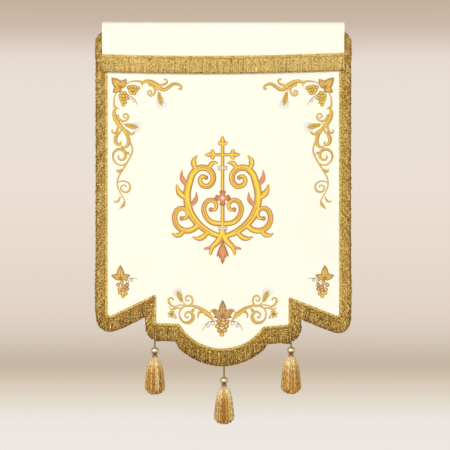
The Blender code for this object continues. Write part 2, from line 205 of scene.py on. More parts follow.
def standing_tube(name, sides, rows, radius, height):
    """A cylinder on the Z axis, with its foot at the origin and its side split into rows."""
    bpy.ops.mesh.primitive_cylinder_add(
        vertices=sides, radius=radius, depth=height, location=(0, 0, height / 2),
    )
    made = bpy.context.object
    made.name = name
    bpy.ops.object.transform_apply(location=True)
    bpy.ops.object.mode_set(mode="EDIT")
    bpy.ops.mesh.select_mode(type="EDGE")
    bpy.ops.mesh.select_all(action="DESELECT")
    bpy.ops.object.mode_set(mode="OBJECT")
    for edge in made.data.edges:
        first, second = (made.data.vertices[i].co.z for i in edge.vertices)
        edge.select = abs(first - second) > height / 2
    bpy.ops.object.mode_set(mode="EDIT")
    bpy.ops.mesh.subdivide(number_cuts=rows - 1)
    bpy.ops.object.mode_set(mode="OBJECT")
    return made


def twist(made, turns):
    """Twists a piece about the Z axis, from its foot to its top."""
    lay = made.modifiers.new("lay", "SIMPLE_DEFORM")
    lay.deform_method = "TWIST"
    lay.deform_axis = "Z"
    lay.angle = 2 * math.pi * turns
    bpy.ops.object.modifier_apply(modifier="lay")


def dress(piece, material):
    """Gives a piece one material, in place of what it has."""
    piece.data.materials.clear()
    piece.data.materials.append(material)


cords = {}
for side in TASSELS:
    low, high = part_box(f"tassel_{side}_cord")
    length = high.z - low.z
    cord = standing_tube(f"cord_{side}", 24, round(length / CORD_ROW), CORD_DIAMETER / 2, length)
    for vertex in cord.data.vertices:
        lobe = abs(math.cos(1.5 * math.atan2(vertex.co.y, vertex.co.x)))
        vertex.co.xy *= 1 - PLY_GROOVE * (1 - lobe ** PLY_FULLNESS)
    twist(cord, length / PLY_TURN)
    middle = (low + high) / 2
    cord.data.transform(Matrix.Translation((middle.x, middle.y, low.z)))
    bpy.ops.object.shade_smooth_by_angle(angle=math.radians(50))
    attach(cord, "root")
    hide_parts(f"tassel_{side}_cord")
    cords[side] = cord, middle, low.z, high.z

# The cord's finish: rayon cord in a pale olive gold, with a soft gloss.
# Its threads are 0.2 mm thick, too fine to show, so the streaks along them are drawn 0.7 mm wide.
laid_cord, tree, shader = new_material("laid_rayon_cord", {"Roughness": 0.42, "Metallic": 0.15})
coords = add_node(tree, "ShaderNodeTexCoord")
streaks = add_node(
    tree, "ShaderNodeTexNoise", {"Scale": 1000 / CORD_STREAK_MM / 2, "Detail": 2.0},
    {"Vector": coords.outputs["Object"]},
)
tone = add_node(tree, "ShaderNodeValToRGB", links={"Fac": streaks.outputs["Fac"]})
set_ramp(tone, ((0.3, "#6E5C2E"), (0.5, "#957F44"), (0.7, "#BAA76C")))
bump = add_node(
    tree, "ShaderNodeBump", {"Strength": 0.3, "Distance": 0.0003}, {"Height": streaks.outputs["Fac"]},
)
tree.links.new(tone.outputs["Color"], shader.inputs["Base Color"])
tree.links.new(bump.outputs["Normal"], shader.inputs["Normal"])
for cord, _middle, _foot, _top in cords.values():
    dress(cord, laid_cord)

# The tassel heads: egg-shaped wooden moulds covered with gold rayon thread, wound from pole to pole.
# The thread's colour is painted palest just above the middle, a painted highlight, and darker towards the
# foot, painted shade. A small ring of cord closes the hole for the tassel's cord.
HEAD_WINDINGS = 44
HEAD_RING_RADIUS = 0.0036
HEAD_SPREAD = 1.05  # the winding stands this much wider than the mould
HEAD_EGG = 0.10  # and the crown is this much wider than the foot
HEAD_GROOVE = 0.003  # between two windings, as a share of the radius


def wound_rayon(name, metallic, tones):
    """Glossy thread wound close; its colour runs from the foot of the piece to its top, which on the heads
    is painted shade below and a painted highlight above.
    """
    made, tree, shader = new_material(name, {
        "Roughness": 0.42, "Metallic": metallic, "Coat Weight": 1.0, "Coat Roughness": 0.40,
    })
    coords = add_node(tree, "ShaderNodeTexCoord")
    parts = add_node(tree, "ShaderNodeSeparateXYZ", links={"Vector": coords.outputs["UV"]})
    patches = add_node(
        tree, "ShaderNodeTexNoise", {"Scale": 160.0, "Detail": 3.0}, {"Vector": coords.outputs["Object"]},
    )
    uneven = add_node(
        tree, "ShaderNodeMath", {"operation": "MULTIPLY_ADD", 1: 0.25, 2: -0.125},
        {0: patches.outputs["Fac"]},
    )
    level = add_node(
        tree, "ShaderNodeMath", {"operation": "ADD"}, {0: parts.outputs["Y"], 1: uneven.outputs[0]},
    )
    tone = add_node(tree, "ShaderNodeValToRGB", links={"Fac": level.outputs[0]})
    set_ramp(tone, tones)
    tree.links.new(tone.outputs["Color"], shader.inputs["Base Color"])
    return made


def join_up(pieces):
    """Joins pieces into the first of them."""
    bpy.ops.object.select_all(action="DESELECT")
    for piece in pieces:
        piece.select_set(True)
    bpy.context.view_layer.objects.active = pieces[0]
    bpy.ops.object.join()
    return pieces[0]


# The heads' colours by height: painted shade at the foot, a painted highlight just above the middle, gold
# at the top.
head_thread_painted_light = wound_rayon("wound_rayon_head", 0.75, (
    (0.20, "#6E5420"), (0.38, "#9A7634"), (0.47, "#F0CC7C"), (0.55, "#FFF4CC"), (0.68, "#FFF0BC"),
    (0.78, "#CE9C42"), (0.92, "#E4AE4C"),
))
neck_thread = wound_rayon(
    "wound_rayon_neck", 0.4, ((0.0, "#A8803C"), (0.5, "#CFA468"), (1.0, "#8A6830")),
)
for side in TASSELS:
    low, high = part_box(f"tassel_{side}_bead")
    middle = (low + high) / 2
    bpy.ops.mesh.primitive_uv_sphere_add(segments=2 * HEAD_WINDINGS, ring_count=18, radius=1)
    head = bpy.context.object
    head.name = f"head_{side}"
    half = (high - low) / 2
    for i, vertex in enumerate(head.data.vertices):
        winding = math.atan2(vertex.co.y, vertex.co.x) * HEAD_WINDINGS / math.pi
        groove = 1 - HEAD_GROOVE * (round(winding) % 2) * math.hypot(vertex.co.x, vertex.co.y)
        wide = half.x * groove * HEAD_SPREAD * (1 + HEAD_EGG / 2 * vertex.co.z)
        vertex.co = (vertex.co.x * wide, vertex.co.y * wide, vertex.co.z * half.z * groove)
    bpy.ops.mesh.primitive_torus_add(
        location=(0, 0, half.z - 0.0008), major_radius=HEAD_RING_RADIUS, minor_radius=0.0010,
        major_segments=24, minor_segments=8,
    )
    join_up([head, bpy.context.object])
    head.data.transform(Matrix.Translation(middle))
    bpy.ops.object.shade_smooth_by_angle(angle=math.radians(60))
    dress(head, head_thread_painted_light)
    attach(head, "root")
    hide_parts(f"tassel_{side}_bead")
    cord, line, foot, top = cords[side]

# The tassel skirts: a bound neck, and under it a hundred and eighty-four crimped hanks of glossy rayon.
# The hanks spread from the neck, wave together in locks, and are cut to a rounded foot.
NECK_HEIGHT = 0.009
NECK_TUBE = NECK_HEIGHT + 0.002  # it runs on into the hanks
NECK_RADIUS = 0.0084
NECK_WINDINGS = 6
SKIRT_DEPTHS = (0.000, 0.008, 0.024, 0.040, 0.056, 0.072, 0.088, 0.104, 0.112, 0.124)
SKIRT_RADII = (0.0104, 0.0178, 0.0240, 0.0270, 0.0291, 0.0309, 0.0326, 0.0336, 0.0314, 0.0240)
HANK_ROWS = 14
HANK_LAYERS = (  # hanks, share of the skirt's radius, length, thickness at the neck and below
    (92, 1.00, 0.110, 0.0009, 0.0015),
    (60, 0.88, 0.118, 0.0009, 0.0019),
    (32, 0.62, 0.122, 0.0009, 0.0026),
)
CRIMP_LENGTH = 0.019
CRIMP_DEPTH = 0.0011
HANK_TONE = (0.27, 0.14, 0.60)  # the middle, the spread and the palest
chance = np.random.RandomState(7)


def smooth(share):
    """An S-shaped rise from 0 to 1."""
    share = min(max(share, 0.0), 1.0)
    return share * share * (3 - 2 * share)


def built_piece(name, points, faces, uvs, tones=None):
    """A smooth piece from its points and faces, with a place on the UV map and a tone for each point."""
    mesh = bpy.data.meshes.new(name)
    mesh.from_pydata(points, [], faces)
    layer = mesh.uv_layers.new(name="UVMap")
    corners = np.zeros(len(mesh.loops), int)
    mesh.loops.foreach_get("vertex_index", corners)
    layer.data.foreach_set("uv", np.array(uvs)[corners].ravel())
    if tones is not None:
        mesh.attributes.new("tone", "FLOAT", "POINT").data.foreach_set("value", tones)
    mesh.polygons.foreach_set("use_smooth", np.ones(len(mesh.polygons), bool))
    made = bpy.data.objects.new(name, mesh)
    bpy.context.scene.collection.objects.link(made)
    return made


def strand_model(sides, rows, flatness, turns):
    """A strand on the Z axis from 0 to 1, one across and as flat as that, twisted."""
    made = standing_tube("strand", sides, rows, 1.0, 1.0)
    for vertex in made.data.vertices:
        vertex.co.y *= flatness
    if turns:
        twist(made, turns)
    shape = np.array([vertex.co for vertex in made.data.vertices])
    faces = np.array([tuple(face.vertices) for face in made.data.polygons if len(face.vertices) == 4])
    around = np.array([math.atan2(p[1], p[0]) / (2 * math.pi) % 1 for p in shape])
    mesh = made.data
    bpy.data.objects.remove(made)
    bpy.data.meshes.remove(mesh)
    return shape, faces, around, rows


def lay_strands(name, model, paths, fronts, sizes, tones):
    """One mesh with a copy of a strand for each path, numpy arrays of strand, row and X, Y, Z.

    fronts is the way that each strand's flat side faces, sizes its half width on each row.
    """
    shape, faces, around, rows = model
    count = len(paths)
    row = np.rint(shape[:, 2] * rows).astype(int)
    run = np.gradient(paths, axis=1)
    run /= np.linalg.norm(run, axis=2, keepdims=True)
    front = np.broadcast_to(fronts[:, None, :], run.shape)
    side = np.cross(front, run)
    side /= np.linalg.norm(side, axis=2, keepdims=True)
    front = np.cross(run, side)
    size = sizes[:, row, None]
    points = paths[:, row] + side[:, row] * shape[:, 0, None] * size
    points = points + front[:, row] * shape[:, 1, None] * size
    step = np.linalg.norm(np.diff(paths, axis=1), axis=2)
    along = np.concatenate([np.zeros((count, 1)), np.cumsum(step, axis=1)], axis=1)[:, row]
    quads = (faces[None] + len(shape) * np.arange(count)[:, None, None]).reshape(-1, 4)
    uvs = np.stack([np.broadcast_to(around, along.shape), along], axis=2).reshape(-1, 2)
    tones = np.repeat(tones, len(shape))
    return built_piece(name, points.reshape(-1, 3), quads.tolist(), uvs, tones)


# The skirt's finish: rayon floss, which is glossy and streaked light and dark where the crimp turns it.
# A hank is drawn as one strand, so its threads, 0.3 mm apart, are streaks along it. The top of the skirt is
# painted paler, a painted highlight.
floss, tree, shader = new_material("crimped_rayon_floss", {"Roughness": 0.40, "Metallic": 0.25})
lot = add_node(tree, "ShaderNodeAttribute", {"attribute_name": "tone"})
coords = add_node(tree, "ShaderNodeTexCoord")
stretched = add_node(
    tree, "ShaderNodeMapping", {"Scale": (1.0, 60.0, 1.0)}, {"Vector": coords.outputs["UV"]},
)
own = add_node(tree, "ShaderNodeMath", {"operation": "MULTIPLY", 1: 40.0}, {0: lot.outputs["Fac"]})
streaks = add_node(
    tree, "ShaderNodeTexNoise", {"noise_dimensions": "4D", "Scale": 8.0, "Detail": 2.0},
    {"Vector": stretched.outputs["Vector"], "W": own.outputs[0]},
)
both = add_node(
    tree, "ShaderNodeMath", {"operation": "MULTIPLY_ADD", 1: 0.50},
    {0: streaks.outputs["Fac"], 2: lot.outputs["Fac"]},
)
parts = add_node(tree, "ShaderNodeSeparateXYZ", links={"Vector": coords.outputs["UV"]})
# Near the neck the hanks are painted paler, fading out 58 mm down: a painted highlight.
crown = add_node(
    tree, "ShaderNodeMapRange", {"From Min": 0.010, "From Max": 0.058, "To Min": 0.30, "To Max": 0.0},
    {"Value": parts.outputs["Y"]},
)
lit = add_node(
    tree, "ShaderNodeMath", {"operation": "ADD"}, {0: both.outputs[0], 1: crown.outputs["Result"]},
)
tone = add_node(tree, "ShaderNodeValToRGB", links={"Fac": lit.outputs[0]})
set_ramp(tone, ((0.22, "#865418"), (0.40, "#C08834"), (0.60, "#E4B458"), (0.84, "#FFF2C0")))
tree.links.new(tone.outputs["Color"], shader.inputs["Base Color"])

hank = strand_model(5, HANK_ROWS, 0.8, 0)
for side in TASSELS:
    _low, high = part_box(f"tassel_{side}_skirt")
    _cord, line, _foot, _top = cords[side]
    neck = standing_tube(f"skirt_{side}", 40, NECK_WINDINGS * 6, 1.0, NECK_TUBE)
    for vertex in neck.data.vertices:
        share = vertex.co.z / NECK_TUBE
        wound = NECK_RADIUS + 0.0004 * abs(math.sin(math.pi * NECK_WINDINGS * share))
        wound += 0.0014 * smooth(1 - share / 0.3)
        vertex.co.xy *= wound
    neck.data.transform(Matrix.Translation((line.x, line.y, high.z - NECK_TUBE)))
    bpy.ops.object.shade_smooth_by_angle(angle=math.radians(60))
    dress(neck, neck_thread)
    pieces = [neck]
    for layer, (count, share, cut, thin, thick) in enumerate(HANK_LAYERS):
        bearing = 2 * math.pi * (np.arange(count) + 0.37 * layer) / count + chance.normal(0, 0.02, count)
        length = cut + chance.normal(0, 0.0008, count)
        depth = np.linspace(0, 1, HANK_ROWS + 1)[None] * length[:, None]
        radius = np.interp(depth, SKIRT_DEPTHS, SKIRT_RADII) * share
        loose = np.clip(depth / 0.03, 0, 1)
        lock = 1.2 * np.sin(7 * bearing + layer) + 1.4 * np.sin(17 * bearing + 2)
        lock = lock + chance.normal(0, 0.8, count)
        wave = 2 * math.pi * depth / CRIMP_LENGTH + lock[:, None]
        radius = radius + CRIMP_DEPTH * loose * np.sin(wave) - thick
        sway = CRIMP_DEPTH * 1.3 * loose * np.sin(0.8 * wave + 1.3)
        turn = bearing[:, None] + sway / np.maximum(radius, 0.004)
        path = np.stack([
            line.x + radius * np.cos(turn), line.y + radius * np.sin(turn),
            high.z - NECK_HEIGHT - depth + 0.001,
        ], axis=2)
        outwards = np.stack([np.cos(bearing), np.sin(bearing), np.zeros(count)], axis=1)
        size = thin + (thick - thin) * np.clip(depth / 0.05, 0, 1)
        size *= np.where(np.arange(HANK_ROWS + 1) == HANK_ROWS, 0.55, 1.0)[None]
        tones = np.clip(HANK_TONE[0] + chance.normal(0, HANK_TONE[1], count), 0.0, HANK_TONE[2])
        # Each layer further in is painted a tenth darker: painted shade inside the skirt.
        hanks = lay_strands(f"hanks_{side}_{layer}", hank, path, outwards, size, tones - 0.1 * layer)
        hanks.data.materials.append(floss)
        pieces.append(hanks)
    join_up(pieces)
    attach(neck, "root")
    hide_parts(f"tassel_{side}_skirt")

# The cut of the cloth, as it is marked out flat: the line that the fringe's braid is sewn along.
# It runs down the left edge, round the points, steps and round foot, and up the right edge.
SIDE_TOP_Z = -0.033
BRAID_WIDTH = 0.012
EDGE_MARGIN = 0.018  # from that line out to the cut edge of the cloth
HALF_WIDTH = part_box("panel")[1].x
SEW_LINE = (  # across, height, radius of the corner
    (-0.382, SIDE_TOP_Z, 0),
    (-0.382, -0.977, 0.009),
    (-0.221, -0.899, 0.006),
    (-0.221, -0.996, 0.005),
    (-0.145, -0.998, 0.014),
    (0.132, -1.008, 0.014),
    (0.216, -1.001, 0.005),
    (0.216, -0.909, 0.006),
    (0.383, -0.975, 0.007),
    (0.383, SIDE_TOP_Z, 0),
)
LEFT_SHOULDER, RIGHT_SHOULDER = 4, 5
ROUND_FOOT = Vector((0.000, -1.080))


def outward(start, end):
    """The normal that points off the cloth for a stretch of the line that runs round it."""
    run = (end - start).normalized()
    return Vector((run.y, -run.x))


def offset_line(line, distance):
    """The same line, moved off the cloth by a distance, with mitred corners."""
    moved = []
    for i, point in enumerate(line):
        before = outward(line[i - 1], point) if i else outward(point, line[1])
        after = outward(point, line[i + 1]) if i + 1 < len(line) else before
        corner = before + after
        moved.append(point + corner * (2 * distance / corner.length_squared))
    return moved


def round_foot(left, right, steps=24):
    """The points of the circle through both shoulders and the lowest point, between the shoulders."""
    along = (right - left).normalized()
    plumb = Vector((along.y, -along.x))
    share, drop = (ROUND_FOOT - left).dot(along), (ROUND_FOOT - left).dot(plumb)
    rise = (share * ((right - left).length - share) - drop * drop) / (2 * drop)
    centre = (left + right) / 2 - plumb * rise
    radius = (left - centre).length
    first, last = (math.atan2(p.x - centre.x, centre.y - p.y) for p in (left, right))
    turns = [first + (last - first) * i / steps for i in range(1, steps)]
    return [centre + radius * Vector((math.sin(turn), -math.cos(turn))) for turn in turns]


def corner_arc(before, corner, after, radius, steps=6):
    """The points of the arc that rounds a corner off."""
    back, ahead = (before - corner).normalized(), (after - corner).normalized()
    half = back.angle(ahead) / 2
    centre = corner + (back + ahead).normalized() * (radius / math.sin(half))
    first = corner + back * (radius / math.tan(half)) - centre
    swing = (2 * half - math.pi) * math.copysign(1, back.cross(ahead))
    turns = [swing * i / steps for i in range(steps + 1)]
    return [
        centre + Vector((
            first.x * math.cos(t) - first.y * math.sin(t), first.x * math.sin(t) + first.y * math.cos(t),
        ))
        for t in turns
    ]


sew_corners = [(Vector((x, z)), radius) for x, z, radius in SEW_LINE]
foot_points = round_foot(sew_corners[LEFT_SHOULDER][0], sew_corners[RIGHT_SHOULDER][0])
sew_corners[RIGHT_SHOULDER:RIGHT_SHOULDER] = [(point, 0) for point in foot_points]
sew_line = []
for i, (point, radius) in enumerate(sew_corners):
    if radius:
        sew_line += corner_arc(sew_corners[i - 1][0], point, sew_corners[i + 1][0], radius)
    else:
        sew_line.append(point)
braid_edge = offset_line(sew_line, BRAID_WIDTH)

# The cloth: one length of heavy cream church cloth, folded forwards over the pole's place at the top.
# The flap hangs in front, sewn down under its own fringe, and the foot is cut to points and a round.
CLOTH_THICK = 0.0024
FOLD_RADIUS = 0.0142
FOLD_Z = -0.0154
TAPER_Z = -0.098  # the sleeve closes here
FLAP_Y = -0.0050
FLAP_HEM_DROP = 0.009
FLAP_BRAID_Z = (-0.1075, -0.1128, -0.1025)  # left, middle and right of the line of the flap's braid
PLAIN_FOOT_Z = -0.865  # the cloth is a plain rectangle down to here
POINT_SLOPES = (0.48, 0.40)  # of the cut edge, out from the tips of the left and right points
STEP_LEFT, STEP_RIGHT = -0.239, 0.234
NOTCH_LEFT_Z, NOTCH_RIGHT_Z = -0.9273, -0.9361
FLAP_ROWS, FOLD_ROWS, BACK_ROWS, BAND_ROWS, FOOT_ROWS = 12, 16, 84, 8, 16
SIDE_COLUMNS, MIDDLE_COLUMNS = 16, 50


def drape(x, z):
    """How far the hanging cloth swings out of its plane, less near the sleeve."""
    loose = smooth((TAPER_Z - z) / 0.5)
    wave = math.sin(17 * x + 1.1) + 0.6 * math.sin(31 * x + 4 * z) + 0.5 * math.sin(9 * x - 7 * z)
    return 0.0010 * loose * wave


def cloth_y(x, z):
    """The middle of the cloth's thickness in the back of the sleeve and in the panel."""
    return FOLD_RADIUS * max(0.0, (z - TAPER_Z) / (FOLD_Z - TAPER_Z)) + drape(x, z)


def flap_braid_z(x):
    """The line of the flap's braid, which sags in the middle."""
    left, middle, right = FLAP_BRAID_Z
    share = x / HALF_WIDTH
    return middle + (right - left) / 2 * share + ((left + right) / 2 - middle) * share * share


def flap_y(z):
    """The middle of the flap's thickness."""
    return FLAP_Y - (FOLD_RADIUS + FLAP_Y) * max(0.0, (z - TAPER_Z) / (FOLD_Z - TAPER_Z))


cut_edge = offset_line([point for point, _radius in sew_corners[1:-1]], EDGE_MARGIN)
left_rise = (cut_edge[0].x + HALF_WIDTH) * POINT_SLOPES[0]
right_rise = (HALF_WIDTH - cut_edge[-1].x) * POINT_SLOPES[1]
cut_edge[0] = Vector((-HALF_WIDTH, cut_edge[0].y - left_rise))
cut_edge[-1] = Vector((HALF_WIDTH, cut_edge[-1].y - right_rise))


def foot_z(x):
    """Where a plumb line at x crosses the cut edge of the cloth's foot, from left to right."""
    return [
        a.y + (b.y - a.y) * (x - a.x) / (b.x - a.x)
        for a, b in zip(cut_edge, cut_edge[1:]) if b.x - a.x > 1e-5 and a.x - 1e-6 <= x <= b.x + 1e-6
    ]


def bent_grid(name, columns, rows, place):
    """A flat grid, bent: place gives the point for u and v from -1 to 1, and the length run to there."""
    bpy.ops.mesh.primitive_grid_add(x_subdivisions=columns, y_subdivisions=rows, size=2, calc_uvs=True)
    made = bpy.context.object
    made.name = name
    flat = [(round(v.co.x, 6), round(v.co.y, 6)) for v in made.data.vertices]
    placed = [place(u, v) for u, v in flat]
    layer = made.data.uv_layers.active.data
    for loop in made.data.loops:
        point, run = placed[loop.vertex_index]
        layer[loop.index].uv = (point[0], run)
    for vertex, (point, _run) in zip(made.data.vertices, placed):
        vertex.co = point
    return made


cloth_columns = (
    list(np.linspace(-HALF_WIDTH, STEP_LEFT, SIDE_COLUMNS + 1))
    + list(np.linspace(STEP_LEFT, STEP_RIGHT, MIDDLE_COLUMNS + 1))[1:]
    + list(np.linspace(STEP_RIGHT, HALF_WIDTH, SIDE_COLUMNS + 1))[1:]
)
band_foot = []
for x in cloth_columns:
    if STEP_LEFT <= x <= STEP_RIGHT:
        across = (x - STEP_LEFT) / (STEP_RIGHT - STEP_LEFT)
        band_foot.append(NOTCH_LEFT_Z + (NOTCH_RIGHT_Z - NOTCH_LEFT_Z) * across)
    else:
        band_foot.append(foot_z(x)[0])
row_ends = np.cumsum([FLAP_ROWS, FOLD_ROWS, BACK_ROWS, BAND_ROWS, FOOT_ROWS])


def cloth_point(u, v):
    """A point of the cloth for its column and row, counted from the flap's hem, and how far from it."""
    column = round((u + 1) / 2 * (len(cloth_columns) - 1))
    row = round((v + 1) / 2 * row_ends[-1])
    x = cloth_columns[column]
    if row < row_ends[0]:
        hem = flap_braid_z(x) - FLAP_HEM_DROP
        z = hem + (FOLD_Z - hem) * row / FLAP_ROWS
        return (x, flap_y(z), z), z - hem
    flap_run = FOLD_Z - flap_braid_z(0) + FLAP_HEM_DROP
    if row < row_ends[1]:
        turn = math.pi * (row - row_ends[0]) / FOLD_ROWS
        point = x, -FOLD_RADIUS * math.cos(turn), FOLD_Z + FOLD_RADIUS * math.sin(turn)
        return point, flap_run + FOLD_RADIUS * turn
    if row < row_ends[2]:
        z = FOLD_Z + (PLAIN_FOOT_Z - FOLD_Z) * (row - row_ends[1]) / BACK_ROWS
    elif row <= row_ends[3]:
        z = PLAIN_FOOT_Z + (band_foot[column] - PLAIN_FOOT_Z) * (row - row_ends[2]) / BAND_ROWS
    else:
        low = min(foot_z(x)) if STEP_LEFT <= x <= STEP_RIGHT else band_foot[column]
        z = band_foot[column] + (low - band_foot[column]) * (row - row_ends[3]) / FOOT_ROWS
    return (x, cloth_y(x, z), z), flap_run + math.pi * FOLD_RADIUS + FOLD_Z - z


cloth = bent_grid("banner_cloth", len(cloth_columns) - 1, int(row_ends[-1]), cloth_point)
bpy.ops.object.mode_set(mode="EDIT")
bpy.ops.mesh.select_all(action="DESELECT")
bpy.ops.object.mode_set(mode="OBJECT")
for face in cloth.data.polygons:
    spots = [cloth.data.vertices[i].co for i in face.vertices]
    low, high = min(spot.z for spot in spots), max(spot.z for spot in spots)
    outside = not STEP_LEFT < sum(spot.x for spot in spots) / 4 < STEP_RIGHT
    face.select = face.area < 1e-9 or low < NOTCH_LEFT_Z and outside and high - low < 1e-7
bpy.ops.object.mode_set(mode="EDIT")
bpy.ops.mesh.delete(type="FACE")
bpy.ops.mesh.select_all(action="SELECT")
bpy.ops.mesh.remove_doubles(threshold=0.00005)
bpy.ops.object.mode_set(mode="OBJECT")
thickness = cloth.modifiers.new("thickness", "SOLIDIFY")
thickness.thickness = CLOTH_THICK
thickness.offset = 0
bpy.ops.object.modifier_apply(modifier="thickness")
bpy.ops.object.shade_smooth_by_angle(angle=math.radians(40))

# The cloth's finish: close-woven cream wool and cotton, matt with a faint sheen.
# Its threads are 0.5 mm apart, too fine to show, so the weave is drawn at 1.6 mm.
THREAD_MM = 1.6
cream_cloth, tree, shader = new_material("woven_cream_cloth", {
    "Roughness": 0.82, "Specular IOR Level": 0.25, "Sheen Weight": 0.15, "Sheen Roughness": 0.5,
})
coords = add_node(tree, "ShaderNodeTexCoord")
weave = [
    add_node(
        tree, "ShaderNodeTexWave",
        {"wave_type": "BANDS", "bands_direction": way, "Scale": 1000 / THREAD_MM * math.pi / 10},
        {"Vector": coords.outputs["UV"]},
    )
    for way in ("X", "Y")
]
crossing = add_node(
    tree, "ShaderNodeMath", {"operation": "MAXIMUM"},
    {0: weave[0].outputs["Fac"], 1: weave[1].outputs["Fac"]},
)
clouding = add_node(
    tree, "ShaderNodeTexNoise", {"Scale": 9.0, "Detail": 3.0}, {"Vector": coords.outputs["Object"]},
)
tone = add_node(tree, "ShaderNodeValToRGB", links={"Fac": clouding.outputs["Fac"]})
set_ramp(tone, ((0.35, "#FEFEEC"), (0.65, "#FFFFEF")))
bump = add_node(
    tree, "ShaderNodeBump", {"Strength": 0.12, "Distance": 0.0004}, {"Height": crossing.outputs[0]},
)
tree.links.new(tone.outputs["Color"], shader.inputs["Base Color"])
tree.links.new(bump.outputs["Normal"], shader.inputs["Normal"])
dress(cloth, cream_cloth)
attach(cloth, "root")
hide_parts("panel", "pole_sleeve")

# The embroidery: satin stitch over padding, in ochre, brown and yellow rayon, drawn out on the cloth.
# Its drawing is in photo pixels: across from the left, down from the top, as the banner was measured.
DRAWN_MIDDLE_X = 223.2
DRAWN_TOP_Y = 21.7
MIRROR_X = 222.7  # what is on the left is repeated on the right of this line
PADDING = 0.0013
BOLDER = 1.15  # the padding's soft edge spreads every stroke this much
STROKE_ACROSS = (-1.0, -0.62, 0.0, 0.62, 1.0)
STROKE_RISE = (-0.25, 0.75, 1.0, 0.75, -0.25)


def new_stitching():
    """The empty mesh of what is sewn in one thread."""
    return {"points": [], "faces": [], "uvs": [], "tones": []}


def face_of(x, z, lift):
    """A point that far in front of the banner's cloth."""
    return x, cloth_y(x, z) - CLOTH_THICK / 2 - lift, z


def drawn_place(x, y, lift):
    """A point in front of the cloth at a drawn place."""
    return face_of((x - DRAWN_MIDDLE_X) * PIXEL, (DRAWN_TOP_Y - y) * PIXEL, lift)


def curve_through(points, steps=5):
    """A smooth line through drawn points."""
    p = np.array(points, float)
    p = np.vstack([2 * p[0] - p[1], p, 2 * p[-1] - p[-2]])
    line = []
    for a, b, c, d in zip(p, p[1:], p[2:], p[3:]):
        for t in np.arange(steps) / steps:
            bend = (2 * a - 5 * b + 4 * c - d) * t * t + (3 * b - a - 3 * c + d) * t ** 3
            line.append(0.5 * (2 * b + (c - a) * t + bend))
    return np.array(line + [p[-2]])


def mirrored(points, axis=MIRROR_X):
    """The same drawn points on the other side of the banner."""
    return [(2 * axis - x, y) for x, y in points]


def stitch_rows(stitching, rows, closed, tone):
    """Adds a patch of rows, each of drawn x, drawn y, lift, place across and place along."""
    first, count = len(stitching["points"]), len(rows[0])
    for row in rows:
        for x, y, lift, across, along in row:
            stitching["points"].append(drawn_place(x, y, lift))
            stitching["uvs"].append((across, along))
            stitching["tones"].append(tone)
    for r in range(len(rows) - 1):
        for i in range(count if closed else count - 1):
            j = (i + 1) % count
            here, beyond = first + r * count, first + (r + 1) * count
            stitching["faces"].append((here + i, here + j, beyond + j, beyond + i))


def satin_stroke(stitching, widths, points, lift=1.0, tone=0.5):
    """A curved stroke, its widths given in pixels and evenly spaced along it."""
    line = curve_through(points)
    step = np.concatenate([[0], np.cumsum(np.linalg.norm(np.diff(line, axis=0), axis=1))])
    width = BOLDER * np.interp(step / step[-1], np.linspace(0, 1, len(widths)), widths)
    run = np.gradient(line, axis=0)
    run /= np.linalg.norm(run, axis=1, keepdims=True)
    aside = np.stack([-run[:, 1], run[:, 0]], axis=1)
    rows = []
    for spot, normal, wide, along in zip(line, aside, width, step):
        height = lift * min(PADDING, 0.0003 + 0.3 * wide * PIXEL)
        rows.append([
            (*(spot + normal * wide / 2 * a), height * rise, a, along * PIXEL)
            for a, rise in zip(STROKE_ACROSS, STROKE_RISE)
        ])
    stitch_rows(stitching, rows, False, tone)


def padded_shape(stitching, outline, centre, height, tone):
    """A closed shape, crowned over its padding: rings from its outline to its centre."""
    outline, centre = np.array(outline, float), np.array(centre, float)
    turning = np.roll(outline, -1, axis=0)
    if np.sum(outline[:, 0] * turning[:, 1] - outline[:, 1] * turning[:, 0]) > 0:
        outline = outline[::-1]
    count = len(outline)
    edge = np.linalg.norm(np.roll(outline, -1, axis=0) - outline, axis=1)
    along = np.concatenate([[0], np.cumsum(edge)[:-1]]) * PIXEL
    rows = []
    for share, rise in ((1.0, -0.25), (0.9, 0.55), (0.6, 0.9), (0.25, 1.0), (0.02, 1.0)):
        rows.append([
            (*(centre + (spot - centre) * share), height * rise, share, s)
            for spot, s in zip(outline, along)
        ])
    stitch_rows(stitching, rows, True, tone)
    last = len(stitching["points"]) - count
    stitching["faces"].append(tuple(range(last, last + count)))


def round_shape(stitching, centre, length, width, bearing=0.0, tone=0.5, sides=12):
    """A padded oval, such as a grape, a grain or a petal. bearing is in degrees, clockwise."""
    turn = math.radians(bearing)
    outline = []
    for i in range(sides):
        a = 2 * math.pi * i / sides
        x, y = length / 2 * math.cos(a), width / 2 * math.sin(a)
        aside = x * math.cos(turn) - y * math.sin(turn)
        down = x * math.sin(turn) + y * math.cos(turn)
        outline.append((centre[0] + aside, centre[1] + down))
    padded_shape(stitching, outline, centre, min(0.0022, 0.32 * width * PIXEL), tone)


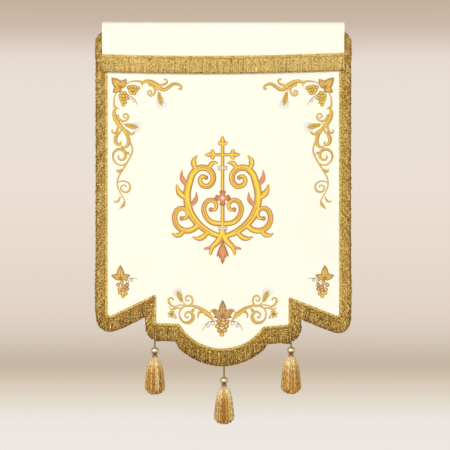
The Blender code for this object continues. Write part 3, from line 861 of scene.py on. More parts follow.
def wheat_ear(grains, whiskers, foot, tip, width):
    """An ear of wheat: pairs of grains up to a last one, and whiskers that fan out past it."""
    foot, tip = np.array(foot, float), np.array(tip, float)
    axis = tip - foot
    reach = np.linalg.norm(axis)
    axis /= reach
    aside = np.array((-axis[1], axis[0]))
    bearing = math.degrees(math.atan2(axis[1], axis[0]))
    spine = [foot, foot + axis * reach * 0.5, tip]
    satin_stroke(grains, (0.25 * width, 0.8 * width, 0.15 * width), spine, 0.6, 0.1)
    for i in range(5):
        share = 0.16 + 0.15 * i
        plump = math.sin(math.pi * (0.06 + 0.9 * share))
        for way in (-1, 1):
            spot = foot + axis * reach * share + aside * way * width * 0.26 * plump
            size = width * (0.22 + 0.28 * plump)
            round_shape(grains, spot, reach * 0.25, size, bearing - way * 16, 0.2 + 0.3 * (i % 2), 8)
    round_shape(grains, tip - axis * reach * 0.13, reach * 0.3, width * 0.3, bearing, 0.4, 8)
    for i in range(9):
        fan = math.radians((i - 4) * 4)
        way = axis * math.cos(fan) + aside * math.sin(fan)
        begin = foot + axis * reach * 0.45 + aside * (i - 4) * width * 0.13
        length = reach * (0.84 - 0.035 * abs(i - 4))
        hair = [begin, begin + way * length * 0.5, begin + way * length]
        satin_stroke(whiskers, (0.9, 0.8, 0.4), hair, 0.3)


gold, tan, brown, pale, copper = (new_stitching() for _thread in range(5))

# The corner sprays: a vine leaf in each upper corner with two bunches of grapes under it.
# A scrolled arm runs in along the sleeve from it, and a longer one down the side.
LOBE_HALF = (  # a lobe's toothed edge: share of its length, share of its width
    (0.03, 0.22), (0.12, 0.38), (0.22, 0.46), (0.29, 0.40), (0.42, 0.50), (0.50, 0.41), (0.63, 0.39),
    (0.70, 0.28), (0.82, 0.22),
)
CORNER_LOBES = (  # tip, width
    ((111.2, 77.2), 10.4), ((126.8, 78.6), 8.2), ((112.2, 92.6), 8.2),
)
CORNER_LEAF_FOOT = (120.4, 87.2)
CORNER_GRAPES = (
    (128.5, 87.2), (131.8, 86.4), (135.1, 86.8), (138.2, 88), (129.8, 90.3), (133, 89.8), (136.2, 90.7),
    (131.3, 93), (134.4, 93.2), (121.5, 92.8), (124.6, 93), (120.4, 95.8), (123.4, 96), (126.6, 95.6),
    (121, 98.8), (124.2, 99.2), (127.3, 98.4), (122.2, 101.8), (125, 102.2), (123.2, 104.8),
)
ARM = (  # widths, then points: this is the arm along the sleeve, and most of it is also in the other arm
    ((1.1, 1.5, 2.4), ((126, 84.2), (130, 82), (134, 81.2), (139, 81.3), (143, 82.6))),
    ((1.8, 1.5, 0.4), ((140.6, 82.4), (142.3, 84.2), (142.7, 87))),
    ((2.4, 5.0, 4.2), ((142.5, 82.8), (146.5, 81.2), (151, 82.2), (156, 84.6), (160.6, 87.4))),
    ((2.2, 2.0, 1.3), (
        (148.5, 84.8), (152.6, 86), (155, 89.5), (154.2, 93.6), (151, 95.7), (148.1, 94), (148.3, 91.4),
        (150.6, 90.6), (151.7, 92.4), (150.8, 93.4),
    )),
    ((2.8, 2.2, 1.4), ((158, 86), (163, 84.8), (166.4, 83.2), (167, 80.6), (165.4, 79.2), (163.8, 80.1))),
    ((0.7, 0.8, 0.8), ((156, 88.6), (157.4, 90), (158.6, 92.4))),
)
ARM_EAR = ((158.6, 92.0), (161.6, 105.6), 5.0)
SLEEVE_ARM_END = (
    (3.6, 3.4, 1.6),
    (
        (157.5, 86.6), (161.5, 89.2), (165.5, 89.3), (169.5, 86.7), (173.5, 84.1), (177.5, 84.2),
        (180.8, 86), (181.4, 88.2), (179.9, 89.2), (178.7, 88.2),
    ),
)
SIDE_ARM = (
    ((2.2, 1.8, 3.8, 3.4, 1.4), (
        (119.8, 124.6), (121.3, 128.4), (120.4, 131.6), (117.3, 134.5), (115.4, 138.5), (116, 142.6),
        (118.6, 144.8), (120.8, 143.6), (120.2, 141.4),
    )),
    ((3.0, 3.4, 3.8, 1.4), (
        (120.4, 124.8), (123, 128.6), (126.6, 134), (128.6, 139.5), (128.2, 144), (125.6, 147),
        (122.6, 147.2), (120.8, 146),
    )),
    ((2.2, 3.2, 2.6, 2.0), ((123.4, 128.8), (127, 131.6), (130.8, 134.2), (134.1, 132.6))),
    ((1.6, 1.7, 1.0), (
        (128.6, 139), (131, 144), (132.3, 149), (131.6, 154), (129.4, 158.4), (126.5, 163.5),
        (123.4, 168.5), (119.8, 174.5), (117.6, 180), (117.6, 186), (119.6, 191.5), (122.4, 196.5),
        (124.6, 200.5),
    )),
    ((1.4, 1.5, 1.8, 2.6, 3.2, 2.4, 1.4), (
        (126.8, 163), (122, 165.2), (116.6, 163.6), (113.2, 158.6), (113.8, 152.8), (118, 149.4),
        (123, 150.2), (125.6, 154), (124.6, 158.2), (121, 160), (118.2, 157.6), (119.3, 155.2),
    )),
    ((0.9, 1.0, 1.0), ((130.8, 156.4), (129.6, 154.6), (128, 153.4))),
    ((0.9, 2.6, 0.3), ((120.4, 172.6), (118.2, 171.4), (116.2, 168.8))),
    ((1.1, 2.0, 1.3), (
        (118, 182.4), (121.5, 181.2), (126, 181.6), (129.4, 184.2), (130, 188.4), (127.4, 191.8),
        (123.4, 191.8), (121, 188.8), (122, 185.8), (125, 185.3), (126.2, 187.2),
    )),
    ((1.3, 2.2, 1.1), ((120.4, 196.6), (118.6, 200.4), (116, 202), (113.9, 200.8))),
    ((1.1, 3.3, 0.3), ((124.7, 200.2), (123.8, 204), (121.5, 207), (118.9, 209.2))),
)
CORNER_TENDRIL = ((125.8, 92.6), (130, 96.2), (134, 98.8), (136.5, 102.4), (137.3, 105.6))
CORNER_LOOPS = (((131, 97.9), 1.5), ((134, 100.9), 1.2))
CORNER_KNOTS = (((128, 152.8), 2.6), ((120.8, 170.6), 3.4), ((150.8, 93.2), 1.8), ((134.3, 132.6), 2.0))


def loop_of(centre, radius):
    """A small round loop of a tendril."""
    turns = [2 * math.pi * i / 8 for i in range(9)]
    return [(centre[0] + radius * math.sin(t), centre[1] - radius * math.cos(t)) for t in turns]


def vine_leaf(thread, foot, lobes):
    """A vine leaf: toothed lobes that spread from its foot, each with a brown vein."""
    heart = foot + (np.array(lobes[0][0], float) - foot) * 0.14
    padded_shape(thread, loop_of(heart, 2.6)[:-1], heart, 0.0009, 0.3)
    for tip, width in lobes:
        axis = np.array(tip, float) - foot
        aside = np.array((-axis[1], axis[0])) / np.linalg.norm(axis) * width
        back = foot - axis * 0.08
        edge = [back + axis * 1.08 * s + aside * w for s, w in LOBE_HALF]
        other = [back + axis * 1.08 * s - aside * w for s, w in LOBE_HALF[::-1]]
        padded_shape(thread, [back, *edge, foot + axis, *other], foot + axis * 0.42, 0.0012, 0.35)
    for tip, width in lobes:
        axis = np.array(tip, float) - foot
        satin_stroke(brown, (0.9, 0.8, 0.3), [foot, foot + axis * 0.45, foot + axis * 0.88], 1.5, 0.2)
        aside = np.array((-axis[1], axis[0])) / np.linalg.norm(axis) * width
        for share, way in ((0.30, 1), (0.30, -1), (0.52, 1), (0.52, -1)):
            begin = foot + axis * share
            vein = [begin, begin + axis * 0.09 + aside * 0.16 * way, begin + axis * 0.2 + aside * 0.3 * way]
            satin_stroke(brown, (0.5, 0.5, 0.3), vein, 1.45, 0.2)


def veined_stroke(widths, points, tone):
    """An ochre stroke, with a brown line worked along the middle of its wide part."""
    satin_stroke(gold, widths, points, 1.0, tone)
    if max(widths) >= 2.8:
        line = [tuple(spot) for spot in curve_through(points)[2:-2:3]]
        satin_stroke(brown, (0.2, 0.7, 0.7, 0.2), line, 1.35, 0.3)


def diagonal(points):
    """The arm along the sleeve, turned over to run down the side."""
    return [(y + 32.8, x - 34) for x, y in points]


def both_sides(draw):
    """Draws something on the left and again on the right, turned over."""
    draw(list)
    draw(mirrored)


def tendril(widths, points, loops, loop_width):
    """A thin brown tendril with its small loops."""
    satin_stroke(brown, widths, points, 0.7, 0.9)
    for loop in loops:
        satin_stroke(brown, (loop_width,) * 3, loop, 0.7, 0.9)


def corner_spray(side):
    """One upper corner: leaf, grapes, both arms and a tendril."""
    vine_leaf(gold, side([CORNER_LEAF_FOOT])[0], [(side([tip])[0], width) for tip, width in CORNER_LOBES])
    for i, spot in enumerate(CORNER_GRAPES):
        round_shape(gold, side([spot])[0], 4.2, 4.1, 0, (0.1, 0.5, 0.8, 0.3, 0.6)[i % 5])
    for turned_over in (list, diagonal):
        for widths, points in ARM:
            veined_stroke(widths, side(turned_over(points)), 0.55)
        foot, tip = side(turned_over(ARM_EAR[:2]))
        wheat_ear(gold, pale, foot, tip, ARM_EAR[2])
    veined_stroke(SLEEVE_ARM_END[0], side(SLEEVE_ARM_END[1]), 0.35)
    for widths, points in SIDE_ARM:
        veined_stroke(widths, side(points), 0.45)
    for spot, size in CORNER_KNOTS:
        round_shape(gold, side([spot])[0], size, size, 0, 0.3)
    loops = [side(loop_of(*loop)) for loop in CORNER_LOOPS]
    tendril((0.7, 0.6, 0.4), side(CORNER_TENDRIL), loops, 0.5)


both_sides(corner_spray)

# The sprigs in the two points: a three-lobed leaf over a bunch of ten grapes, with a tendril.
# They are worked in the same ochre and brown as the corner sprays.
SPRIG_LOBES = (((120.4, 264.4), 8.6), ((130.6, 274.8), 6.8), ((110.8, 275.0), 6.8))
SPRIG_LEAF_FOOT = (120.5, 278.4)
SPRIG_GRAPES = (
    (118.1, 284.8), (121.8, 282.4), (127, 285.1), (123.1, 286.4), (119.5, 289.4), (123.4, 290.1),
    (127, 288.9), (120.1, 292.7), (125.6, 293.5), (123, 296),
)
SPRIG_TENDRIL = ((124.6, 281.4), (128.7, 278.7), (132.2, 278.2), (136, 278.3), (136.9, 279.4))
SPRIG_LOOPS = (((127.7, 281.5), 1.3), ((131.7, 280), 1.3))


def point_sprig(side):
    """The sprig in one point: leaf, stalk, grapes and a tendril."""
    vine_leaf(gold, side([SPRIG_LEAF_FOOT])[0], [(side([tip])[0], width) for tip, width in SPRIG_LOBES])
    satin_stroke(brown, (0.9, 0.8, 0.7), side([(120.7, 279), (121.4, 281), (122.6, 284)]), 0.9, 0.3)
    for i, spot in enumerate(SPRIG_GRAPES):
        thread = tan if i in (2, 6) else copper if i == 3 else gold
        round_shape(thread, side([spot])[0], 4.5, 4.4, 0, (0.1, 0.6, 0.25, 0.8, 0.45, 0.0)[i % 6])
    loops = [side(loop_of(*loop)) for loop in SPRIG_LOOPS]
    tendril((0.7, 0.7, 0.4), side(SPRIG_TENDRIL), loops, 0.6)


both_sides(point_sprig)

# The garland over the round foot: a vine leaf and grapes in the middle, and a scrolled arm each way.
# Each arm ends in a small flower, with an ear of wheat standing over it.
GARLAND_LOBES = (
    ((222.7, 299.4), 9.0), ((234.6, 309.6), 7.6), ((210.8, 309.6), 7.6), ((232.6, 317.2), 5.4),
    ((212.8, 317.2), 5.4),
)
GARLAND_LEAF_FOOT = (222.7, 316.0)
GARLAND_GRAPES = (
    (218.9, 321.5), (223.2, 319.8), (227, 321.9), (217.6, 326.2), (221.9, 325.2), (226.4, 326),
    (219.7, 330.6), (224.6, 330.2), (221.9, 334.3),
)
GARLAND_ARM = (
    ((1.2, 4.4, 3.8, 2.4, 2.2), (
        (213.6, 321.4), (210.4, 316.6), (205.4, 312), (199.8, 308.3), (193.5, 306), (187, 305.8),
    )),
    ((2.2, 2.8, 1.2), ((206.6, 315.4), (203.2, 311.6), (199.8, 312.2), (197.9, 315), (198.4, 317.8))),
    ((0.9, 0.9, 0.9), ((197.4, 307.8), (195, 308.2), (193.4, 309.8))),
    ((1.6, 1.5, 1.4, 2.2, 3.6, 3.2, 2.0, 1.2), (
        (188.4, 305.9), (183.2, 307), (179.7, 311.6), (180, 317.6), (183.6, 322), (188.8, 322.6),
        (192.8, 319), (192.6, 314.4), (189.2, 311.8), (185.8, 313.2), (185.3, 316.6), (187.4, 318),
    )),
    ((1.7, 1.8, 1.1), (
        (190.4, 305.4), (192.6, 301.8), (191.7, 297.3), (188.4, 295.6), (185.8, 297.6), (186.1, 300.5),
        (188.5, 301), (189.4, 299.2),
    )),
    ((1.0, 1.1, 0.9), ((187, 305.8), (184.4, 303.6), (182, 301.4))),
    ((1.3, 1.2, 1.0), ((186.5, 306.2), (181.6, 304.9), (178, 305.4), (174, 307))),
    ((1.3, 2.4, 1.2), (
        (176, 307), (172.4, 306), (169.3, 302.9), (168.8, 299.4), (171.2, 297.5), (173, 299),
    )),
    ((0.8, 0.9, 0.9), ((174.4, 307), (173, 309), (172, 311.6))),
    ((1.2, 1.6, 0.9), (
        (185, 306.6), (181, 308.2), (177, 308), (173.4, 309.6), (170.4, 308.6), (170, 306.4),
    )),
    ((1.0, 1.5, 1.0), ((218.4, 311), (214.6, 309.2), (211, 311), (209.9, 314.6))),
)
GARLAND_EAR = ((182.2, 301.8), (177.2, 290.8), 5.0)
FLOWER = (171.6, 314.2)
GARLAND_TENDRIL = (
    (218, 320.7), (213.6, 321.2), (209.8, 321.9), (206.6, 323.6), (204.8, 326), (202.7, 330.6),
)
GARLAND_LOOPS = (((212.7, 323.4), 1.7), ((207.9, 325.7), 1.5))
GARLAND_KNOTS = (((193, 310.2), 3.2), ((175.5, 317.4), 2.6), ((187.6, 317.4), 2.2), ((173, 299.4), 2.0))
vine_leaf(tan, GARLAND_LEAF_FOOT, GARLAND_LOBES)
for i, spot in enumerate(GARLAND_GRAPES):
    thread = tan if i in (0, 2, 4, 6) else gold
    round_shape(thread, spot, 5.3, 5.2, 0, (0.4, 0.1, 0.65, 0.25, 0.8, 0.0)[i % 6])


def garland_arm(side):
    """One arm of the garland, with its ear of wheat, flower and tendril."""
    for widths, points in GARLAND_ARM:
        veined_stroke(widths, side(points), 0.5)
    foot, tip = side(GARLAND_EAR[:2])
    wheat_ear(gold, pale, foot, tip, GARLAND_EAR[2])
    for spot, size in GARLAND_KNOTS:
        round_shape(gold, side([spot])[0], size, size, 0, 0.25)
    for i in range(6):
        turn = math.radians(60 * i + 12)
        petal = (FLOWER[0] + 2.5 * math.cos(turn), FLOWER[1] + 2.5 * math.sin(turn))
        bearing = math.degrees(turn) if side is list else 180 - math.degrees(turn)
        round_shape(gold, side([petal])[0], 3.6, 2.2, bearing, 0.8 - 0.3 * (i % 2), 10)
    round_shape(brown, side([FLOWER])[0], 1.9, 1.9, 0, 0.5)
    loops = [side(loop_of(*loop)) for loop in GARLAND_LOOPS]
    tendril((0.8, 0.8, 0.4), side(GARLAND_TENDRIL), loops, 0.6)


both_sides(garland_arm)

# The emblem in the middle: a budded cross on a tall stem that grows from a fan of leaves.
# Two scrolled branches rise from its foot, the same on both sides, in bright yellow edged with copper.
EMBLEM_X = 222.6
yellow = new_stitching()


def over(points):
    """The emblem's drawn points on its other side."""
    return mirrored(points, EMBLEM_X)


PEARL_BARS = (168.1, 227.8)
STEM = ((222.6, 141.5), (222.6, 170), (222.6, 200), (222.6, 231))
BRANCH = (  # widths and points of the left branch and what grows from it
    ((4.2, 7.0, 6.4), (
        (221, 236.4), (215, 234.6), (206.6, 230.4), (198, 223.6), (191.2, 214.4), (187.6, 203.4),
        (187.2, 192), (189.6, 181.4),
    )),
    ((6.2, 5.2, 4.6, 2.8), (
        (189.4, 182.4), (192.6, 173.8), (199, 168.2), (206.8, 168.4), (212.4, 173.4), (213, 180.6),
        (208.6, 186), (202.4, 185.2), (199.8, 180.2), (202.4, 176.2), (206, 177.6),
    )),
    ((4.8, 4.8, 4.2, 2.4), (
        (199, 224.2), (192.6, 229.6), (184.4, 230.6), (177.2, 226), (174.6, 218), (177, 210.4),
        (183, 208.2), (187.4, 212), (186.4, 217.6), (181.8, 218.4),
    )),
    ((4.2, 4.4, 3.8, 2.2), (
        (221.6, 223.8), (212.6, 222.6), (206.4, 217.4), (203.8, 209.4), (206.4, 202), (212.4, 200.2),
        (216.4, 204.2), (215.2, 209.4), (211, 209.6),
    )),
)
BRANCH_LEAVES = (  # pointed leaves that stand off the branch
    ((3.4, 5.6, 0.4), ((187.8, 199), (182.4, 195.6), (178.2, 190.6), (176.6, 184.2))),
    ((3.2, 5.2, 0.4), ((188.6, 186.4), (183.8, 181.6), (181.6, 175.8), (182.4, 169.4))),
    ((3.0, 4.8, 0.4), ((196.6, 169.6), (193.8, 164.8), (194.2, 159.6), (197.4, 155.4))),
    ((2.8, 4.2, 0.4), ((208.6, 168.9), (210.6, 164.8), (214, 162.6), (218, 163))),
    ((3.2, 5.0, 0.4), ((188.4, 206.4), (193.4, 203), (196.2, 198), (196.2, 191.4))),
    ((2.8, 4.2, 0.4), ((184.4, 230.4), (180.4, 234.4), (175.6, 235.4), (171.8, 233.2))),
    ((3.0, 4.8, 0.4), ((208, 231.6), (203.6, 236.6), (198.2, 238.6), (192.2, 237))),
)
CROSS_ARM = ((209.6, 154.7), (222.6, 154.7), (235.6, 154.7))
CROSS_BUDS = (  # widths and points of the buds at the arm's left end and at the top
    ((1.6, 3.8, 0.5), ((213.6, 154.7), (209, 154.7), (204.9, 154.7))),
    ((1.6, 3.4, 1.6), ((215, 154.4), (212.8, 152.8), (211.9, 149.4))),
    ((1.6, 3.4, 1.6), ((215, 155), (212.8, 156.6), (211.7, 159.6))),
)
TOP_BUDS = (
    ((1.6, 3.8, 0.5), ((222.6, 144.4), (222.6, 140.4), (222.6, 135.9))),
    ((1.6, 3.2, 1.6), ((222.2, 145.6), (220.4, 143.2), (217.7, 143.2))),
)
FAN_LEAF = ((3.4, 5.6, 4.4, 1.2), ((222, 229), (221, 236), (217.4, 242), (212.6, 247), (210.2, 255)))
FAN_FLAT = ((2.2, 3.8, 1.8), ((217.6, 244), (211, 247.4), (203.8, 248.8)))
FAN_MIDDLE_HALF = (
    (222.6, 238), (224.4, 243), (226.2, 247.4), (228, 252), (229.2, 257.2), (226.6, 255.4),
    (226.4, 259), (224.8, 257.4), (224.6, 261), (222.6, 265),
)
OUTLINE = 0.9  # how much wider the copper stroke is
KNOB = 4.0  # across the knob that each scroll ends in
QUATREFOIL = (198, ((0, 8.9), (7, 8.3), (13, 7.3), (20, 8.0), (27, 7.4), (33, 5.4), (40, 3.9), (45, 3.6)))


def outlined_stroke(widths, points, lift, tone):
    """A yellow stroke over a wider copper one, which shows as a line along both its edges."""
    satin_stroke(copper, [width + OUTLINE for width in widths], points, 0.5 * lift, 0.1)
    satin_stroke(yellow, widths, points, lift, tone)


outlined_stroke((2.6, 2.6, 3.2), STEM, 1.0, 0.0)
for y in PEARL_BARS:
    bar = [(EMBLEM_X + across, y) for across in (-4.6, 0, 4.6)]
    satin_stroke(copper, (4.0, 4.0, 4.0), bar, 1.2, 0.2)
outlined_stroke((2.2, 2.2, 2.2), CROSS_ARM, 1.1, 0.2)
for widths, points in (*CROSS_BUDS, TOP_BUDS[1]):
    outlined_stroke(widths, points, 1.3, 0.5)
    outlined_stroke(widths, over(points), 1.3, 0.5)
outlined_stroke(*TOP_BUDS[0], 1.3, 0.5)
for turned_over in (list, over):
    for widths, points in BRANCH:
        outlined_stroke(widths, turned_over(points), 1.5, 0.5)
        line = curve_through(points)[4:-5:3]
        satin_stroke(copper, (0.3, 1.5, 1.3, 0.3), turned_over([tuple(p) for p in line]), 2.0, 0.2)
    for _widths, points in BRANCH[1:]:
        knob = turned_over(points[-1:])[0]
        round_shape(copper, knob, KNOB + OUTLINE, KNOB + OUTLINE, 0, 0.1)
        round_shape(yellow, (knob[0], knob[1] - 0.1), KNOB, KNOB, 0, 0.7)
    for i, (widths, points) in enumerate(BRANCH_LEAVES):
        if i in (1, 4):
            satin_stroke(copper, widths, turned_over(points), 1.2, 0.7)
        else:
            outlined_stroke(widths, turned_over(points), 1.2, 0.5)
    satin_stroke(copper, FAN_FLAT[0], turned_over(FAN_FLAT[1]), 1.0, 0.4)
    outlined_stroke(FAN_LEAF[0], turned_over(FAN_LEAF[1]), 1.4, 0.5)
fan_middle = [*FAN_MIDDLE_HALF, *over(FAN_MIDDLE_HALF[1:-1])[::-1]]
padded_shape(copper, fan_middle, (EMBLEM_X, 252.4), 0.0016, 0.35)
petals = []
quatrefoil_y, quarter = QUATREFOIL
eighths = [*quarter, *((90 - degrees, reach) for degrees, reach in quarter[-2:0:-1])]
for turn in range(0, 360, 90):
    for degrees, reach in eighths:
        bearing = math.radians(turn + degrees)
        petals.append((EMBLEM_X + reach * math.cos(bearing), quatrefoil_y + reach * math.sin(bearing)))
padded_shape(copper, petals, (EMBLEM_X, quatrefoil_y), 0.0022, 0.45)

# The threads' finish: glossy rayon, 0.4 mm thick, laid close over the padding.
# Single threads are too fine to show, so the stitches are drawn 1.2 mm apart.
STITCH_MM = 1.2
THREADS = (  # piece, what is sewn, finish, its colours at the edge, dark, middle and light (a painted highlight), metallic
    ("vine_satin_stitch", gold, "ochre_rayon_satin", ("#A67638", "#C6923A", "#E0AE42", "#F6D05A"), 0.05),
    ("vine_leaf_stitch", tan, "tan_rayon_satin", ("#98682E", "#B8863C", "#CC9C4A", "#DEB468"), 0.05),
    ("vine_stem_stitch", brown, "brown_rayon_satin", ("#7E5232", "#8E5E3A", "#9C6C48", "#B58E70"), 0.0),
    ("wheat_whiskers", pale, "grey_rayon_filament", ("#DCDAC9", "#E1DFCF", "#E6E4D6", "#ECEADD"), 0.0),
    ("emblem_satin_stitch", yellow, "yellow_rayon_satin",
     ("#C87A3C", "#E8A83A", "#F6CA3C", "#FCE848"), 0.05),
    ("emblem_copper_stitch", copper, "copper_rayon_satin",
     ("#B86838", "#D08050", "#DE9058", "#EAA26C"), 0.05),
)


def satin_thread(name, edge, dark, middle, light, shine):
    """Rayon thread laid side by side across a shape: painted darker at both edges, partly its outline and
    partly painted shade, with a painted highlight along it, and streaked.
    """
    thread, tree, shader = new_material(name, {"Roughness": 0.42, "Metallic": shine, "Sheen Weight": 0.1})
    coords = add_node(tree, "ShaderNodeTexCoord")
    parts = add_node(tree, "ShaderNodeSeparateXYZ", links={"Vector": coords.outputs["UV"]})
    lot = add_node(tree, "ShaderNodeAttribute", {"attribute_name": "tone"})
    cloudy = add_node(
        tree, "ShaderNodeTexNoise", {"Scale": 170.0, "Detail": 2.0}, {"Vector": coords.outputs["Object"]},
    )
    place = add_node(
        tree, "ShaderNodeMapRange", {"From Min": -1.0, "From Max": 1.0}, {"Value": parts.outputs["X"]},
    )
    # Across a stroke the colour is darkest at its edges, partly the outline thread and partly painted
    # shade, and palest just off the middle, a painted highlight; a padded shape is palest near its middle
    # and darkest round its edge.
    across = add_node(tree, "ShaderNodeValToRGB", links={"Fac": place.outputs["Result"]})
    set_ramp(across, (
        (0.0, edge), (0.15, edge), (0.25, dark), (0.42, middle), (0.6, light), (0.78, middle),
        (0.86, edge),
    ))
    patch = add_node(
        tree, "ShaderNodeMath", {"operation": "MULTIPLY_ADD", 1: 0.5},
        {0: cloudy.outputs["Fac"], 2: lot.outputs["Fac"]},
    )
    amount = add_node(
        tree, "ShaderNodeMapRange", {"From Min": 0.35, "From Max": 1.2, "To Min": 0.0, "To Max": 0.5},
        {"Value": patch.outputs[0]},
    )
    shaded = add_node(
        tree, "ShaderNodeMix", {"data_type": "RGBA", 7: hex_colour(light)},
        {0: amount.outputs["Result"], 6: across.outputs["Color"]},
    )
    pitch = add_node(
        tree, "ShaderNodeMath", {"operation": "MULTIPLY", 1: 2 * math.pi * 1000 / STITCH_MM},
        {0: parts.outputs["Y"]},
    )
    stitches = add_node(tree, "ShaderNodeMath", {"operation": "SINE"}, {0: pitch.outputs[0]})
    bump = add_node(
        tree, "ShaderNodeBump", {"Strength": 0.35, "Distance": 0.0003}, {"Height": stitches.outputs[0]},
    )
    tree.links.new(shaded.outputs[2], shader.inputs["Base Color"])
    tree.links.new(bump.outputs["Normal"], shader.inputs["Normal"])
    return thread


def sewn_piece(name, stitching, thread):
    """One object from a stitching, which rides with the banner."""
    made = built_piece(name, **stitching)
    made.data.materials.append(thread)
    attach(made, "root")
    return made


sewn = [
    sewn_piece(name, stitching, satin_thread(finish, *tones, shine))
    for name, stitching, finish, tones, shine in THREADS
]

# The emblem's stones: a cut white glass stone in the quatrefoil and two bars of white glass pearls.
# The pearls are threaded and couched down in two rows; the stone's thin gilt cup is not built.
STONE_RADIUS = 0.0062
PEARL_RADIUS = 0.0029
PEARL_PITCH = 1.66  # in drawn pixels, as are the rows' places off the middle of a bar
PEARL_ROWS = (-0.8, 0.8)
PEARLS = 5
STONE_LIFT = 0.0030
white_glass, tree, shader = new_material("white_pressed_glass", {
    "Roughness": 0.08, "IOR": 1.52, "Coat Weight": 0.4,
})
coords = add_node(tree, "ShaderNodeTexCoord")
milk = add_node(
    tree, "ShaderNodeTexNoise", {"Scale": 300.0, "Detail": 1.0}, {"Vector": coords.outputs["Object"]},
)
tone = add_node(tree, "ShaderNodeValToRGB", links={"Fac": milk.outputs["Fac"]})
set_ramp(tone, ((0.3, "#DDE1D6"), (0.7, "#F8F9F2")))
tree.links.new(tone.outputs["Color"], shader.inputs["Base Color"])


stones = []
bpy.ops.mesh.primitive_cone_add(
    vertices=8, radius1=STONE_RADIUS, radius2=0.62 * STONE_RADIUS, depth=0.0022,
    location=drawn_place(EMBLEM_X, quatrefoil_y, STONE_LIFT),
    rotation=(math.radians(90), math.radians(22.5), 0),
)
stones.append(bpy.context.object)
for y in PEARL_BARS:
    for row in PEARL_ROWS:
        for i in range(PEARLS):
            x = EMBLEM_X + (i - (PEARLS - 1) / 2) * PEARL_PITCH
            bpy.ops.mesh.primitive_uv_sphere_add(
                segments=14, ring_count=8, radius=PEARL_RADIUS,
                location=drawn_place(x, y + row, STONE_LIFT),
            )
            stones.append(bpy.context.object)
stones = join_up(stones)
stones.name = "emblem_stones"
bpy.ops.object.transform_apply(location=True, rotation=True, scale=True)
bpy.ops.object.shade_smooth_by_angle(angle=math.radians(30))
dress(stones, white_glass)
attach(stones, "root")
sewn.append(stones)

# The fringe: gold bullion fringe 60 mm deep, bought by the metre, its locks hanging from a woven braid.
# It is sewn through the braid, round the edge of the cloth and across the sleeve's flap.
BRAID_STEP = 0.0013
BRAID_LIFT = 0.0009  # the braid's ground stands this far off the cloth
BRAID_RIB = 0.0007  # and its plaited ribs this much further
BRAID_RIB_LENGTH = 0.0052
BRAID_ACROSS = (  # place across, height of the ground, share of the rib
    (0.00, -0.2, 0.0), (0.03, 0.8, 0.3), (0.12, 1.1, 0.2), (0.20, 0.7, 1.0), (0.36, 0.8, 1.0),
    (0.50, 0.6, 1.0), (0.64, 0.8, 1.0), (0.80, 0.7, 1.0), (0.88, 1.1, 0.2), (0.97, 0.8, 0.3),
    (1.00, -0.2, 0.0),
)
LOCK_LENGTH = 0.047
LOCK_PITCH = 0.0020
LOCK_ROWS = 10
LOCK_TURNS = 2.25
LOCK_ROOT = 0.005  # the locks begin this far up, inside the braid
ROOT_DIVE = 0.3  # and rise out of it at this slope
LEAN_FAN = 0.5  # the share of a lock's length at which fanned locks are evenly spaced
SIDE_FOOT_Z = -0.925  # the side fringes end here
LOCK_LAYERS = (  # how far off the cloth at the root and at the tip, half width, and how much darker: painted shade on the layers behind
    (0.0007, 0.0004, 0.0021, 0.20), (0.0010, 0.0020, 0.0017, 0.08), (0.0016, 0.0036, 0.0016, 0.0),
)
CORNER_EXTRA = (  # corner of the sewing line, extra length there, how far to either side
    (3, 0.013, 0.040), (8, 0.013, 0.040), (4, 0.0025, 0.030), (7, 0.008, 0.034), (2, -0.006, 0.060),
)
CORD_SLOT = 0.0070  # a few locks hang over a tassel's cord, in front of it
COVER = (0.0078, 0.0084, 0.0015, 0.1)  # how far off the cloth, half width, darker, as above
COVER_LOCKS = 7
COVER_OVER = 0.0020  # how far they overlap the others on each side
COVER_LENGTH = 0.046
SIDE_LEAN = 34
SIDE_REACH = 0.0285  # no lock reaches further sideways than this
TOP_LOCK = (0.018, 1.6)  # the length of the top lock, and how much each millimetre below adds
PALER = {  # the stretches that catch more light or less
    "left_side": 0.10, "right_side": 0.10, "flap": 0.51, "scallop": -0.09, "left_point": -0.05,
}
SIDE_LEANS = (-66, -38, *[-SIDE_LEAN] * 20, -35, -36, -37, -38, -37, -35)
FRINGES = {  # corners of the sewing line between which it runs, the tassel that parts it, leans in degrees
    "left_side": (0, 1, None, SIDE_LEANS),
    "left_point": (1, 3, None, (-SIDE_LEAN, -33, -18, -4, 0, 0, 0, -2, -10, -22)),
    "left_step": (3, 5, "left", (-22, -24, -27, -30, -30, -30, -28, -18, -2), (0, 0, -2, -7)),
    "scallop": (5, 6, "middle", (-7, -14, -8, -3, 0, 0), (0, 0, 3, 8, 14, 7)),
    "right_step": (6, 8, "right", (7, 2, 0, 0), (2, 26, 38, 39, 36, 33, 31, 28, 24)),
    "right_point": (8, 10, None, (22, 10, 2, 0, 0, 0, 4, 16, 33, SIDE_LEAN)),
    "right_side": (10, 11, None, [-lean for lean in SIDE_LEANS[::-1]]),
}


def length_to(line, index):
    """How far along a line one of its points lies."""
    return sum((b - a).length for a, b in zip(line[:index], line[1:index + 1]))


def place_on(line, distance):
    """The place at a distance along a line."""
    for a, b in zip(line, line[1:]):
        span = (b - a).length
        if distance <= span:
            return a + (b - a) * (distance / span)
        distance -= span
    return line[-1]


def face_of_flap(x, z, lift):
    """A point that far in front of the sleeve's flap."""
    return x, flap_y(min(z, TAPER_Z)) - CLOTH_THICK / 2 - lift, z


